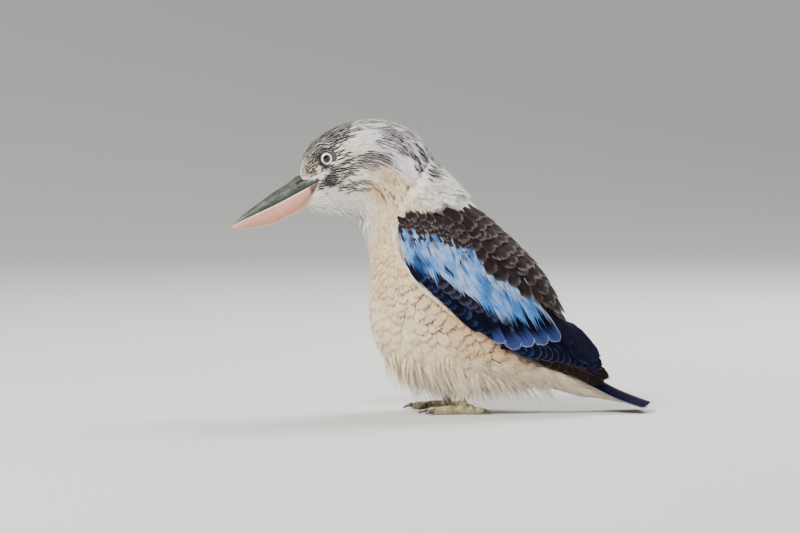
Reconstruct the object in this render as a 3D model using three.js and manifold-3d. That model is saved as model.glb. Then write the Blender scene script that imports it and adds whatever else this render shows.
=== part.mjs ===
// A blue-winged kookaburra, standing at rest with its wings folded, at life size.
// Millimetres. The bird faces -Y, its left side is +X, and Z = 0 is the floor under its feet.
// Head, neck and trunk are one smooth form parted by thin cuts. Everything else is fitted to that form.

import * as THREE from 'three';
import { mergeVertices } from 'three/addons/utils/BufferGeometryUtils.js';
import Module from 'manifold-3d';

const wasm = await Module();
wasm.setup();

// Driving sizes
const GAP = 0.35;                 // clearance between neighbouring pieces
const CUT = 0.014;                // share of a station left open where the body is parted
const HEAD_END = 5.1;             // station where the head meets the neck
const NECK_END = 6.9;             // station where the neck meets the trunk
const BODY_SIDES = 24;            // facets round the body
const HEAD_ROWS = 12;
const NECK_ROWS = 4;
const TRUNK_ROWS = 14;

// Stations of the body, from the face to the root of the tail. Top and bottom are [y, z] on the
// middle plane, half is half the width of the body alone, inset is how far the back lies under the
// folded wings, and wingHalf is half the width across the wings. The square field is an exponent:
// below one, it fills the section's corners, as on the broad crown.
const STATIONS = [
  { top: [-112.4, 192.8], bottom: [-109.2, 165.5], half: 9.5, inset: 0, wingHalf: 0, square: 0.9 },
  { top: [-109.2, 206.4], bottom: [-103.6, 161.2], half: 15, inset: 0, wingHalf: 0, square: 0.86 },
  { top: [-98.0, 220.0], bottom: [-88.4, 158.8], half: 21, inset: 0, wingHalf: 0, square: 0.8 },
  { top: [-74.0, 231.6], bottom: [-72.4, 157.2], half: 25.5, inset: 0, wingHalf: 0, square: 0.78 },
  { top: [-44.4, 233.6], bottom: [-63.6, 153.6], half: 27.5, inset: 0, wingHalf: 0, square: 0.8 },
  { top: [-18.0, 221.4], bottom: [-60.4, 143.2], half: 28.5, inset: 0, wingHalf: 34, square: 0.84 },
  { top: [-0.4, 196.0], bottom: [-58.0, 128.8], half: 31.5, inset: 0, wingHalf: 36.5, square: 0.88 },
  { top: [20.4, 173.6], bottom: [-57.2, 108.8], half: 36.5, inset: 0.5, wingHalf: 42.5, square: 0.92 },
  { top: [47.6, 148.0], bottom: [-57.6, 84.8], half: 42, inset: 2.5, wingHalf: 49, square: 0.93 },
  { top: [74.8, 121.6], bottom: [-53.2, 56.8], half: 45, inset: 4.5, wingHalf: 52.5, square: 0.93 },
  { top: [92.4, 95.2], bottom: [-34.8, 31.2], half: 44, inset: 7.5, wingHalf: 51.5, square: 0.93 },
  { top: [102.8, 71.2], bottom: [3.6, 17.6], half: 38.5, inset: 9.5, wingHalf: 46, square: 0.93 },
  { top: [111.6, 54.4], bottom: [47.6, 17.2], half: 29.5, inset: 9.5, wingHalf: 37, square: 0.93 },
  { top: [121.2, 42.4], bottom: [83.6, 19.6], half: 20, inset: 7.5, wingHalf: 28, square: 0.93 },
  { top: [130.8, 31.6], bottom: [115.6, 11.6], half: 12.5, inset: 5, wingHalf: 21, square: 0.93 },
  { top: [137.6, 24.8], bottom: [130.4, 14.6], half: 8, inset: 2, wingHalf: 16, square: 0.93 },
];
const BODY_END = 14;

// The folded wing, along the stations. Angles go round the body from the middle of the back.
const WING = [
  { at: 6.12, upper: 88, lower: 100, thick: 5 },
  { at: 6.4, upper: 70, lower: 108, thick: 8 },
  { at: 7.0, upper: 46, lower: 112, thick: 10 },
  { at: 8.0, upper: 25, lower: 106, thick: 11 },
  { at: 9.0, upper: 16, lower: 98, thick: 12 },
  { at: 10.0, upper: 12, lower: 88, thick: 13 },
  { at: 11.0, upper: 9, lower: 84, thick: 13 },
  { at: 12.0, upper: 7.5, lower: 90, thick: 12 },
  { at: 13.0, upper: 8, lower: 106, thick: 9 },
  { at: 13.7, upper: 12, lower: 106, thick: 5 },
  { at: 14.3, upper: 24, lower: 88, thick: 3.4 },
  { at: 14.75, upper: 42, lower: 66, thick: 2.4 },
];
const WING_EDGE_DROP = 3.6;       // how far the wing's rim lies below its middle
const WING_ROWS = 18;
const WING_ACROSS = 7;

// The bill, from its root in the face to its tip: [y, z] of the ridge, of the line between the
// mandibles, and of the lower edge, then half the width.
const BILL = [
  { ridge: [-100.0, 190.5], mouth: [-95.5, 185.5], under: [-98.5, 163.5], half: 19.4 },
  { ridge: [-114.2, 188.6], mouth: [-108.0, 178.8], under: [-108.6, 161.4], half: 15.4 },
  { ridge: [-121.5, 183.2], mouth: [-116.5, 174.2], under: [-118.0, 156.8], half: 12.6 },
  { ridge: [-134.0, 175.2], mouth: [-129.5, 167.2], under: [-131.0, 151.2], half: 9.3 },
  { ridge: [-146.5, 166.0], mouth: [-143.5, 160.4], under: [-144.5, 148.2], half: 6.6 },
  { ridge: [-156.5, 158.6], mouth: [-154.5, 155.2], under: [-154.5, 146.9], half: 4.4 },
  { ridge: [-163.5, 152.9], mouth: [-162.5, 151.2], under: [-161.5, 146.6], half: 2.6 },
  { ridge: [-168.4, 148.9], mouth: [-168.0, 148.2], under: [-166.6, 146.9], half: 0.9 },
];
const BILL_ROWS = 13;
const BILL_SIDES = 12;

const EYE = { centre: [15.3, -91.0, 203.6], radius: 6.4, ahead: 14 };

// The tail, from under the wings to its tip: centre [y, z], half width, thickness, droop of its edges.
const TAIL = [
  { centre: [118.6, 25.4], half: 15.5, thick: 8.6, droop: 3.0 },
  { centre: [130.0, 19.4], half: 18.0, thick: 7.4, droop: 4.0 },
  { centre: [142.0, 13.9], half: 20.0, thick: 5.6, droop: 4.6 },
  { centre: [155.0, 9.6], half: 21.5, thick: 3.8, droop: 4.4 },
  { centre: [163.5, 7.1], half: 21.0, thick: 2.6, droop: 3.6 },
  { centre: [168.0, 5.8], half: 17.0, thick: 1.8, droop: 2.4 },
];
const TAIL_ROWS = 9;
const TAIL_ACROSS = 8;

// Legs and feet. Each foot stands at [x, y]; the right one is a little ahead.
const FEET = [
  { side: 'left', sign: 1, x: 24, y: 18.5 },
  { side: 'right', sign: -1, x: 24, y: 6.5 },
];
const SHANK = { top: 14.5, bottom: 4.6, lean: 2.2, radius: 3.5 };
const THIGH = { top: 34, radius: 14.5, foot: 6.2, back: 3.5 };
const TOES = [
  { name: 'middle', heading: 1, length: 30, root: 4.2, tip: 3.0, claw: 10.5 },
  { name: 'outer', heading: 14, length: 25.5, root: 3.8, tip: 2.8, claw: 10 },
  { name: 'inner', heading: -24, length: 19.5, root: 3.8, tip: 2.9, claw: 10 },
  { name: 'hind', heading: 174, length: 15.5, root: 4.0, tip: 3.0, claw: 10 },
];
const SOLE = 0.8;                 // how much of each toe's round is pressed flat
const TOE_SIDES = 10;
const CLAW_ROOT = 1.75;
const CLAW_SIDES = 6;

const COLOURS = {
  head: '#d9d3c6',
  neck: '#e6dfd0',
  trunk: '#dccbb2',
  wing: '#5c7fae',
  tail: '#1f2c5c',
  billUpper: '#2f3a34',
  billLower: '#d8b3a4',
  eye: '#ece9df',
  leg: '#8f8b6d',
  claw: '#3a3833',
};

// A smooth value through a list of values, at a place counted in list steps.
function smooth(values, at) {
  const last = values.length - 1;
  const i = Math.min(last - 1, Math.max(0, Math.floor(at)));
  const t = at - i;
  const [a, b, c, d] = [i - 1, i, i + 1, i + 2].map((k) => values[Math.min(last, Math.max(0, k))]);
  return 0.5 * (2 * b + (c - a) * t + (2 * a - 5 * b + 4 * c - d) * t * t + (3 * b - a - 3 * c + d) * t ** 3);
}

// The same for a list of records, for one of their fields, which is a number or a pair.
function along(list, field, at) {
  if (Array.isArray(list[0][field])) {
    return list[0][field].map((_, k) => smooth(list.map((row) => row[field][k]), at));
  }
  return smooth(list.map((row) => row[field]), at);
}

// A closed mesh through rings of points, with a fan over each end.
function loft(rings) {
  const sides = rings[0].length;
  const points = rings.flat().concat([rings[0], rings.at(-1)].map(middleOf));
  const first = points.length - 2;
  const faces = [];
  for (let j = 0; j < sides; j += 1) {
    const k = (j + 1) % sides;
    for (let i = 0; i + 1 < rings.length; i += 1) {
      const [a, b, c, d] = [i * sides + j, i * sides + k, (i + 1) * sides + k, (i + 1) * sides + j];
      faces.push(a, b, c, a, c, d);
    }
    const end = (rings.length - 1) * sides;
    faces.push(first, k, j, first + 1, end + j, end + k);
  }
  return facingOut(points, faces);
}

function middleOf(ring) {
  return ring.reduce((sum, p) => sum.add(p), new THREE.Vector3()).divideScalar(ring.length);
}

function facingOut(points, faces) {
  let volume = 0;
  for (let i = 0; i < faces.length; i += 3) {
    const [a, b, c] = [points[faces[i]], points[faces[i + 1]], points[faces[i + 2]]];
    volume += a.dot(new THREE.Vector3().crossVectors(b, c));
  }
  const index = volume > 0 ? faces : faces.slice().reverse();
  const geometry = new THREE.BufferGeometry().setFromPoints(points);
  geometry.setIndex(index);
  return geometry;
}

function solidOf(geometry) {
  const bare = geometry.clone();
  bare.deleteAttribute('normal');
  bare.deleteAttribute('uv');
  const merged = mergeVertices(bare, 1e-4);
  return new wasm.Manifold(new wasm.Mesh({
    numProp: 3,
    vertProperties: new Float32Array(merged.attributes.position.array),
    triVerts: new Uint32Array(merged.index.array),
  }));
}

// The largest body of a solid, as a geometry.
function geometryOf(solid) {
  const bodies = solid.decompose().sort((a, b) => b.volume() - a.volume());
  const mesh = bodies[0].getMesh();
  const geometry = new THREE.BufferGeometry();
  const points = new Float32Array(mesh.numVert * 3);
  for (let i = 0; i < mesh.numVert; i += 1) {
    points.set(mesh.vertProperties.subarray(i * mesh.numProp, i * mesh.numProp + 3), i * 3);
  }
  geometry.setAttribute('position', new THREE.BufferAttribute(points, 3));
  geometry.setIndex(new THREE.BufferAttribute(mesh.triVerts, 1));
  return geometry;
}

// The body's section at a station: its middle, the direction to the back, and its half sizes.
function section(at, withWings) {
  const top = along(STATIONS, 'top', at);
  const bottom = along(STATIONS, 'bottom', at);
  const inset = withWings ? 0 : along(STATIONS, 'inset', at);
  const reach = Math.hypot(top[0] - bottom[0], top[1] - bottom[1]);
  const up = [(top[0] - bottom[0]) / reach, (top[1] - bottom[1]) / reach];
  const high = (reach - inset) / 2;
  return {
    middle: [bottom[0] + up[0] * high, bottom[1] + up[1] * high],
    up,
    high,
    half: along(STATIONS, withWings ? 'wingHalf' : 'half', at),
    square: along(STATIONS, 'square', at),
  };
}

// A point on the body, at an angle round it from the middle of the back, in radians.
function bodyPoint(at, angle, grow, withWings) {
  const { middle, up, high, half, square } = section(at, withWings);
  const side = Math.sign(Math.sin(angle)) * Math.abs(Math.sin(angle)) ** square * (half + grow);
  const rise = Math.cos(angle) * (high + grow);
  return new THREE.Vector3(side, middle[0] + up[0] * rise, middle[1] + up[1] * rise);
}

function places(from, to, rows) {
  return Array.from({ length: rows + 1 }, (_, i) => from + ((to - from) * i) / rows);
}

const HEAD_PLACES = places(0, HEAD_END - CUT, HEAD_ROWS);
const NECK_PLACES = places(HEAD_END + CUT, NECK_END - CUT, NECK_ROWS);
const TRUNK_PLACES = places(NECK_END + CUT, BODY_END, TRUNK_ROWS);

function bodyLoft(stations, grow = 0) {
  return loft(stations.map((at) => (
    places(0, 2 * Math.PI, BODY_SIDES).slice(0, -1).map((angle) => bodyPoint(at, angle, grow, false))
  )));
}

// One folded wing, as a shell whose rim is thinned. The trunk is cut out of it afterwards.
function wingLoft(grow = 0) {
  const rings = [];
  for (let i = 0; i <= WING_ROWS; i += 1) {
    const place = ((WING.length - 1) * i) / WING_ROWS;
    const [at, upper, lower, thick] = ['at', 'upper', 'lower', 'thick'].map((f) => along(WING, f, place));
    const outer = [];
    const inner = [];
    for (let j = 0; j <= WING_ACROSS; j += 1) {
      const v = j / WING_ACROSS;
      const angle = THREE.MathUtils.degToRad(upper + (lower - upper) * v);
      const drop = WING_EDGE_DROP * Math.min(1, thick / 8) * (1 - Math.sqrt(4 * v * (1 - v)));
      outer.push(bodyPoint(at, angle, grow - drop, true));
      inner.push(bodyPoint(at, angle, -Math.max(thick, drop + 1.2) - grow, true));
    }
    rings.push(outer.concat(inner.reverse()));
  }
  return loft(rings);
}

// One mandible: a dome over the flat line of the mouth.
function mandible(edge, grow = 0) {
  const rings = [];
  for (let i = 0; i <= BILL_ROWS; i += 1) {
    const place = ((BILL.length - 1) * i) / BILL_ROWS;
    const crest = along(BILL, edge, place);
    const mouth = along(BILL, 'mouth', place);
    const half = along(BILL, 'half', place) + grow;
    const reach = Math.hypot(crest[0] - mouth[0], crest[1] - mouth[1]);
    const away = [(crest[0] - mouth[0]) / reach, (crest[1] - mouth[1]) / reach];
    const floor = GAP / 2 - grow;
    const ring = [];
    for (let j = 0; j <= BILL_SIDES; j += 1) {
      const turn = (Math.PI * j) / BILL_SIDES;
      const rise = floor + (Math.max(reach, 1.0) + grow - floor) * Math.sin(turn) ** 0.85;
      const wide = half * Math.sign(Math.cos(turn)) * Math.abs(Math.cos(turn)) ** 0.8;
      ring.push(new THREE.Vector3(wide, mouth[0] + away[0] * rise, mouth[1] + away[1] * rise));
    }
    rings.push(ring);
  }
  return loft(rings);
}

function eyeBall(sign, grow = 0) {
  const ball = new THREE.SphereGeometry(EYE.radius + grow, 14, 9);
  ball.rotateZ(-Math.PI / 2);
  ball.rotateZ(THREE.MathUtils.degToRad(-EYE.ahead));
  ball.translate(...EYE.centre);
  return mirrored(ball, sign);
}

function mirrored(geometry, sign) {
  if (sign > 0) return geometry;
  const copy = geometry.clone().scale(-1, 1, 1);
  copy.setIndex(Array.from(copy.index.array).reverse());
  return copy;
}

// The folded tail: a flat roof whose edges hang a little lower than its middle.
function tailLoft(grow = 0) {
  const rings = [];
  for (let i = 0; i <= TAIL_ROWS; i += 1) {
    const place = ((TAIL.length - 1) * i) / TAIL_ROWS;
    const [half, thick, droop] = ['half', 'thick', 'droop'].map((f) => along(TAIL, f, place));
    const [y, z] = along(TAIL, 'centre', place);
    const over = [];
    const under = [];
    for (let j = 0; j <= TAIL_ACROSS; j += 1) {
      const across = (2 * j) / TAIL_ACROSS - 1;
      const sag = droop * across * across;
      const body = (thick / 2) * Math.sqrt(Math.max(0.12, 1 - across * across)) + grow;
      over.push(new THREE.Vector3(across * (half + grow), y, z + thick / 2 - sag + body));
      under.push(new THREE.Vector3(across * (half + grow), y, z + thick / 2 - sag - body));
    }
    rings.push(over.concat(under.reverse()));
  }
  return loft(rings);
}

// A round tapering piece along a path of [x, y, z, radius].
function taper(path, sides, grow = 0) {
  const points = path.map(([x, y, z]) => new THREE.Vector3(x, y, z));
  const rings = points.map((p, i) => {
    const before = points[Math.max(0, i - 1)];
    const ahead = points[Math.min(points.length - 1, i + 1)].clone().sub(before).normalize();
    const turn = new THREE.Quaternion().setFromUnitVectors(new THREE.Vector3(0, 0, 1), ahead);
    const reach = path[i][3] + grow;
    return places(0, 2 * Math.PI, sides).slice(0, -1).map((angle) => (
      new THREE.Vector3(Math.cos(angle) * reach, Math.sin(angle) * reach, 0).applyQuaternion(turn).add(p)
    ));
  });
  return loft(rings);
}

function aboveFloor(solid) {
  return solid.trimByPlane([0, 0, 1], 0);
}

// Places along one toe: round knuckles, and a sole that lies on the floor.
function toePlaces(foot, toe) {
  const turn = THREE.MathUtils.degToRad(toe.heading) * foot.sign;
  const steps = 7;
  return Array.from({ length: steps + 1 }, (_, i) => {
    const t = i / steps;
    const knuckle = 1 + 0.06 * Math.cos(t * Math.PI * 5);
    const end = Math.sqrt(Math.max(0.05, 1 - Math.max(0, (t - 0.82) / 0.18) ** 2));
    const radius = (toe.root + (toe.tip - toe.root) * t) * knuckle * end;
    const reach = toe.length * t;
    const x = foot.sign * foot.x + Math.sin(turn) * reach;
    const y = foot.y - Math.cos(turn) * reach;
    return [x, y, (toe.root + (toe.tip - toe.root) * t) - SOLE, radius];
  });
}

function clawPlaces(foot, toe) {
  const turn = THREE.MathUtils.degToRad(toe.heading) * foot.sign;
  const steps = 5;
  return Array.from({ length: steps + 1 }, (_, i) => {
    const t = i / steps;
    const bend = t * 1.25;
    const reach = toe.length - 1.6 + (toe.claw / 1.25) * Math.sin(bend);
    const z = 3.3 - 3.0 * (1 - Math.cos(bend)) / (1 - Math.cos(1.25));
    const radius = CLAW_ROOT * (1 - t) ** 0.75 + 0.28;
    return [foot.sign * foot.x + Math.sin(turn) * reach, foot.y - Math.cos(turn) * reach,
      Math.max(z, radius * 0.6), radius];
  });
}

function shankPlaces(foot) {
  const steps = 3;
  return Array.from({ length: steps + 1 }, (_, i) => {
    const t = i / steps;
    const z = SHANK.top - (SHANK.top - SHANK.bottom) * t;
    const radius = SHANK.radius * (1 + 0.12 * (2 * t - 1) ** 2);
    return [foot.sign * foot.x, foot.y - SHANK.lean * (1 - t), z, radius];
  });
}

// The feathered thigh: a short cone between the belly and the bare leg.
function thighPlaces(foot) {
  const steps = 4;
  return Array.from({ length: steps + 1 }, (_, i) => {
    const t = i / steps;
    const z = THIGH.top - (THIGH.top - SHANK.top - GAP) * t;
    const radius = THIGH.foot + (THIGH.radius - THIGH.foot) * (1 - t) ** 0.8;
    return [foot.sign * foot.x, foot.y - SHANK.lean + THIGH.back * (1 - t), z, radius];
  });
}

const bird = new THREE.Group();

function add(name, geometry, colour, roughness) {
  const material = new THREE.MeshStandardMaterial({ color: colour, roughness, metalness: 0 });
  const mesh = new THREE.Mesh(geometry, material);
  mesh.name = name;
  bird.add(mesh);
}

function addBody() {
  const grownEyes = [1, -1].map((sign) => solidOf(eyeBall(sign, GAP)));
  const grownBill = ['ridge', 'under'].map((edge) => solidOf(mandible(edge, GAP)));
  let head = solidOf(bodyLoft(HEAD_PLACES));
  for (const cutter of [...grownEyes, ...grownBill]) head = head.subtract(cutter);
  add('head', geometryOf(head), COLOURS.head, 0.9);
  add('neck', bodyLoft(NECK_PLACES), COLOURS.neck, 0.9);
  add('trunk', bodyLoft(TRUNK_PLACES), COLOURS.trunk, 0.9);
}

function addFace() {
  add('bill_upper', mandible('ridge'), COLOURS.billUpper, 0.45);
  add('bill_lower', mandible('under'), COLOURS.billLower, 0.45);
  add('eye_left', eyeBall(1), COLOURS.eye, 0.1);
  add('eye_right', eyeBall(-1), COLOURS.eye, 0.1);
}

function addWingsAndTail() {
  const body = solidOf(bodyLoft([...NECK_PLACES, ...TRUNK_PLACES], GAP));
  const wing = geometryOf(solidOf(wingLoft()).subtract(body));
  add('wing_left', wing, COLOURS.wing, 0.8);
  add('wing_right', mirrored(wing, -1), COLOURS.wing, 0.8);
  const grownWing = wingLoft(GAP);
  const tail = solidOf(tailLoft())
    .subtract(body)
    .subtract(solidOf(grownWing))
    .subtract(solidOf(mirrored(grownWing, -1)));
  add('tail', geometryOf(tail), COLOURS.tail, 0.6);
}

function addLeg(foot) {
  const trunk = solidOf(bodyLoft(TRUNK_PLACES, GAP));
  const thigh = solidOf(taper(thighPlaces(foot), 12)).subtract(trunk);
  add(`thigh_${foot.side}`, geometryOf(thigh), COLOURS.trunk, 0.9);

  let taken = null;
  for (const toe of TOES) {
    let solid = aboveFloor(solidOf(taper(toePlaces(foot, toe), TOE_SIDES)));
    if (taken) solid = solid.subtract(taken);
    const claw = aboveFloor(solidOf(taper(clawPlaces(foot, toe), CLAW_SIDES)));
    const grown = solidOf(taper(toePlaces(foot, toe), TOE_SIDES, GAP));
    add(`toe_${toe.name}_${foot.side}`, geometryOf(solid), COLOURS.leg, 0.6);
    add(`claw_${toe.name}_${foot.side}`, geometryOf(claw.subtract(grown)), COLOURS.claw, 0.4);
    taken = taken ? taken.add(grown) : grown;
  }
  const shank = solidOf(taper(shankPlaces(foot), TOE_SIDES))
    .subtract(taken)
    .subtract(solidOf(taper(thighPlaces(foot), 12, GAP)));
  add(`shank_${foot.side}`, geometryOf(shank), COLOURS.leg, 0.6);
}

addBody();
addFace();
addWingsAndTail();
FEET.forEach(addLeg);

export default bird;
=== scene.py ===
# %% [markdown]
# # A blue-winged kookaburra in feathers
#
# The solids already give the bird's true outline, right out to the feather tips. This lesson dresses
# them. One smooth skin goes just inside them, and then every feather is laid on it as a thin vane of
# mesh: fine ones on the head, soft ones on the breast, firm ones on the wings and tail.
# The bill, the eyes with their lids, the legs and the claws are each a piece of their own.

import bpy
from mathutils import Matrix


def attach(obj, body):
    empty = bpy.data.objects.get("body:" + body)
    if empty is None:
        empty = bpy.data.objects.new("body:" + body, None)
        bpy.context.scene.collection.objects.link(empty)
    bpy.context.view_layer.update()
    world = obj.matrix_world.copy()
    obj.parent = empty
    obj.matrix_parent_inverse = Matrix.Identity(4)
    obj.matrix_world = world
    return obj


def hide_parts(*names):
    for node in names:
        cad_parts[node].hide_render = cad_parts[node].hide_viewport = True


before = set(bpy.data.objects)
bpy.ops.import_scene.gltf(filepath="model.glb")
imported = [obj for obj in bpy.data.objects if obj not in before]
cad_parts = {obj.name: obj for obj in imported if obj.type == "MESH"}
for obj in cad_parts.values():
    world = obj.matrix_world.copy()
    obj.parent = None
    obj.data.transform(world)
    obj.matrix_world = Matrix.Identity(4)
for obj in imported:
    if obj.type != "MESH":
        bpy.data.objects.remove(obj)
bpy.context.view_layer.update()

import itertools
import math

import bpy
import numpy as np
from mathutils import Vector
from mathutils.bvhtree import BVHTree

MM = 0.001
SIDES = ((1, "left"), (-1, "right"))

# %% [markdown]
# ## Where the camera stands
#
# The photograph looks at the bird's left side from about its own height, from far away, so a long lens
# keeps the near and far sides almost the same size. The bird faces -Y, so the camera stands out on +X.

# %% Camera
LENS = 170.0
PHOTO_WIDTH = 640.0          # millimetres of world across the picture, at the bird
AIM = (0.0, -32.4, 116.4)
CAMERA_RISE = math.radians(3.0)

camera_data = bpy.data.cameras.new("camera")
camera_data.lens = LENS
camera_data.sensor_width = 36.0
camera = bpy.data.objects.new("camera", camera_data)
bpy.context.scene.collection.objects.link(camera)
bpy.context.scene.camera = camera
distance = PHOTO_WIDTH / 2 / (18.0 / LENS)
outward = Vector((math.cos(CAMERA_RISE), 0.0, math.sin(CAMERA_RISE)))
camera.location = (Vector(AIM) + outward * distance) * MM
camera.rotation_mode = "QUATERNION"
camera.rotation_quaternion = outward.to_track_quat("Z", "Y")
camera_data.clip_end = 200.0
print("camera is", round(distance), "mm away")

# %% [markdown]
# ## The form under the feathers
#
# Feathers lie along the body from the bill to the tail, so it pays to describe the body as a surface
# with two directions of its own: how far along it a point is, and how far round. A feather is then laid
# by walking along that surface. The stations below are the same ones that the solids were made from.

# %% The body's surface
# Each row: back y, back z, belly y, belly z, half width, inset of the back, half width over the wings,
# and the exponent that fills the section's corners.
STATIONS = np.array([
    (-112.4, 192.8, -109.2, 165.5, 9.5, 0, 0, 0.90),
    (-109.2, 206.4, -103.6, 161.2, 15, 0, 0, 0.86),
    (-98.0, 220.0, -88.4, 158.8, 21, 0, 0, 0.80),
    (-74.0, 231.6, -72.4, 157.2, 25.5, 0, 0, 0.78),
    (-44.4, 233.6, -63.6, 153.6, 27.5, 0, 0, 0.80),
    (-18.0, 221.4, -60.4, 143.2, 28.5, 0, 34, 0.84),
    (-0.4, 196.0, -58.0, 128.8, 31.5, 0, 36.5, 0.88),
    (20.4, 173.6, -57.2, 108.8, 36.5, 0.5, 42.5, 0.92),
    (47.6, 148.0, -57.6, 84.8, 42, 2.5, 49, 0.93),
    (74.8, 121.6, -53.2, 56.8, 45, 4.5, 52.5, 0.93),
    (92.4, 95.2, -34.8, 31.2, 44, 7.5, 51.5, 0.93),
    (102.8, 71.2, 3.6, 17.6, 38.5, 9.5, 46, 0.93),
    (111.6, 54.4, 47.6, 17.2, 29.5, 9.5, 37, 0.93),
    (121.2, 42.4, 83.6, 19.6, 20, 7.5, 28, 0.93),
    (130.8, 31.6, 115.6, 11.6, 12.5, 5, 21, 0.93),
    (137.6, 24.8, 130.4, 14.6, 8, 2, 16, 0.93),
])


def curve(rows, at):
    """A smooth value through a table's rows, at places counted in rows."""
    at = np.asarray(at, float)
    last = len(rows) - 1
    i = np.clip(np.floor(at).astype(int), 0, last - 1)
    t = (at - i)[..., None]
    a, b, c, d = (rows[np.clip(i + k, 0, last)] for k in (-1, 0, 1, 2))
    return 0.5 * (2 * b + (c - a) * t + (2 * a - 5 * b + 4 * c - d) * t**2 + (3 * b - a - 3 * c + d) * t**3)


def body(along, round_, lift=0.0, wings=False):
    """Points on the body in mm. round_ is the angle from the middle of the back, in radians."""
    s = curve(STATIONS, along)
    top, bottom = s[..., 0:2], s[..., 2:4]
    inset = 0.0 if wings else s[..., 5]
    reach = np.linalg.norm(top - bottom, axis=-1)
    up = (top - bottom) / reach[..., None]
    high = (reach - inset) / 2
    half = s[..., 6 if wings else 4]
    sine = np.sin(round_)
    side = np.sign(sine) * np.abs(sine) ** s[..., 7] * (half + lift)
    middle = bottom + up * high[..., None]
    spot = middle + up * (np.cos(round_) * (high + lift))[..., None]
    return np.stack([side, spot[..., 0], spot[..., 1]], axis=-1)


def circle(sides):
    return np.linspace(0, 2 * math.pi, sides, endpoint=False)


def unit(v):
    return v / np.maximum(np.linalg.norm(v, axis=-1, keepdims=True), 1e-9)


def tangents(along, round_, wings=False):
    """The two directions of the surface, as changes per station and per radian, and its outward normal."""
    step = 0.03
    a = (body(along + step, round_, 0, wings) - body(along - step, round_, 0, wings)) / (2 * step)
    r = (body(along, round_ + step, 0, wings) - body(along, round_ - step, 0, wings)) / (2 * step)
    return a, r, unit(np.cross(r, a))


widest = np.array([9.0]), np.array([math.pi / 2])
print("the left flank at its widest:", np.round(body(*widest)[0], 1), "facing",
      np.round(tangents(*widest)[2][0], 2))

# %% [markdown]
# ## Numbers that wander
#
# Nothing on a bird repeats exactly. A small table of random numbers, read smoothly, gives patches and
# streaks that change slowly from feather to feather, and it gives the same bird every time.

# %% Smooth noise and colours
def noise(x, y, seed):
    """Smooth noise from 0 to 1 over a plane."""
    table = np.random.default_rng(seed).random((64, 64))
    xi, yi = np.floor(x).astype(int), np.floor(y).astype(int)
    fx, fy = x - xi, y - yi
    fx, fy = fx * fx * (3 - 2 * fx), fy * fy * (3 - 2 * fy)
    t = lambda i, j: table[(xi + i) % 64, (yi + j) % 64]
    low = t(0, 0) * (1 - fx) + t(1, 0) * fx
    high = t(0, 1) * (1 - fx) + t(1, 1) * fx
    return low * (1 - fy) + high * fy


def rgb(code):
    """A colour written as in a paint chart, #rrggbb, as the linear numbers that Blender mixes."""
    parts = np.array([int(code[i:i + 2], 16) / 255 for i in (1, 3, 5)])
    return np.where(parts <= 0.04045, parts / 12.92, ((parts + 0.055) / 1.055) ** 2.4)


def blend(a, b, share):
    """Between colours a and b, by a share for each feather."""
    share = np.clip(np.asarray(share, float), 0, 1)[..., None]
    return a * (1 - share) + b * share


def ramp(value, low, high):
    """0 below low, 1 above high, smooth between. It runs the other way when low is above high."""
    t = np.clip((value - low) / (high - low), 0, 1)
    return t * t * (3 - 2 * t)


def spot(y, z, centre, radii, turn=0.0):
    """1 at the middle of an oval on the bird's side, 0 outside it."""
    dy, dz = y - centre[0], z - centre[1]
    c, s = math.cos(math.radians(turn)), math.sin(math.radians(turn))
    far = np.sqrt(((dy * c + dz * s) / radii[0]) ** 2 + ((dz * c - dy * s) / radii[1]) ** 2)
    return ramp(far, 1.25, 0.6)


WHITE = rgb("#efece4")
CREAM = rgb("#e4d2ac")
BUFF = rgb("#d3ab74")
RUST = rgb("#d8a476")
STREAK = rgb("#2b2226")
SLATE = rgb("#2c2624")
NIGHT = rgb("#0e1126")
AZURE = rgb("#5f9fe6")
print("white feathers in linear numbers:", np.round(WHITE, 3))

# %% [markdown]
# ## Shader maths in plain Python
#
# A material's pattern is a sum in nodes. Wrapping a socket in a small class lets that sum be written
# as an ordinary expression: each operator adds its Math node. Colours go through Mix nodes instead,
# because a Math node would turn them grey.

# %% Sockets that take part in sums
class Socket:
    def __init__(self, tree, out):
        self.tree, self.out = tree, out

    def math(self, operation, *values):
        return self.tree.node("ShaderNodeMath", {"operation": operation}, dict(enumerate(values)))

    def __add__(self, other): return self.math("ADD", self, other)
    def __radd__(self, other): return self.math("ADD", other, self)
    def __sub__(self, other): return self.math("SUBTRACT", self, other)
    def __rsub__(self, other): return self.math("SUBTRACT", other, self)
    def __mul__(self, other): return self.math("MULTIPLY", self, other)
    def __rmul__(self, other): return self.math("MULTIPLY", other, self)
    def __truediv__(self, other): return self.math("DIVIDE", self, other)
    def __pow__(self, other): return self.math("POWER", self, other)
    def __abs__(self): return self.math("ABSOLUTE", self)
    def most(self, other): return self.math("MAXIMUM", self, other)
    def least(self, other): return self.math("MINIMUM", self, other)
    def sine(self): return self.math("SINE", self)
    def cosine(self): return self.math("COSINE", self)

    def ramp(self, low, high):
        """0 at low, 1 at high, smooth between."""
        ends = {"Value": self, "From Min": low, "From Max": high, "To Min": 0.0, "To Max": 1.0}
        return self.tree.node("ShaderNodeMapRange", {"interpolation_type": "SMOOTHSTEP"}, ends)


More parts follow.
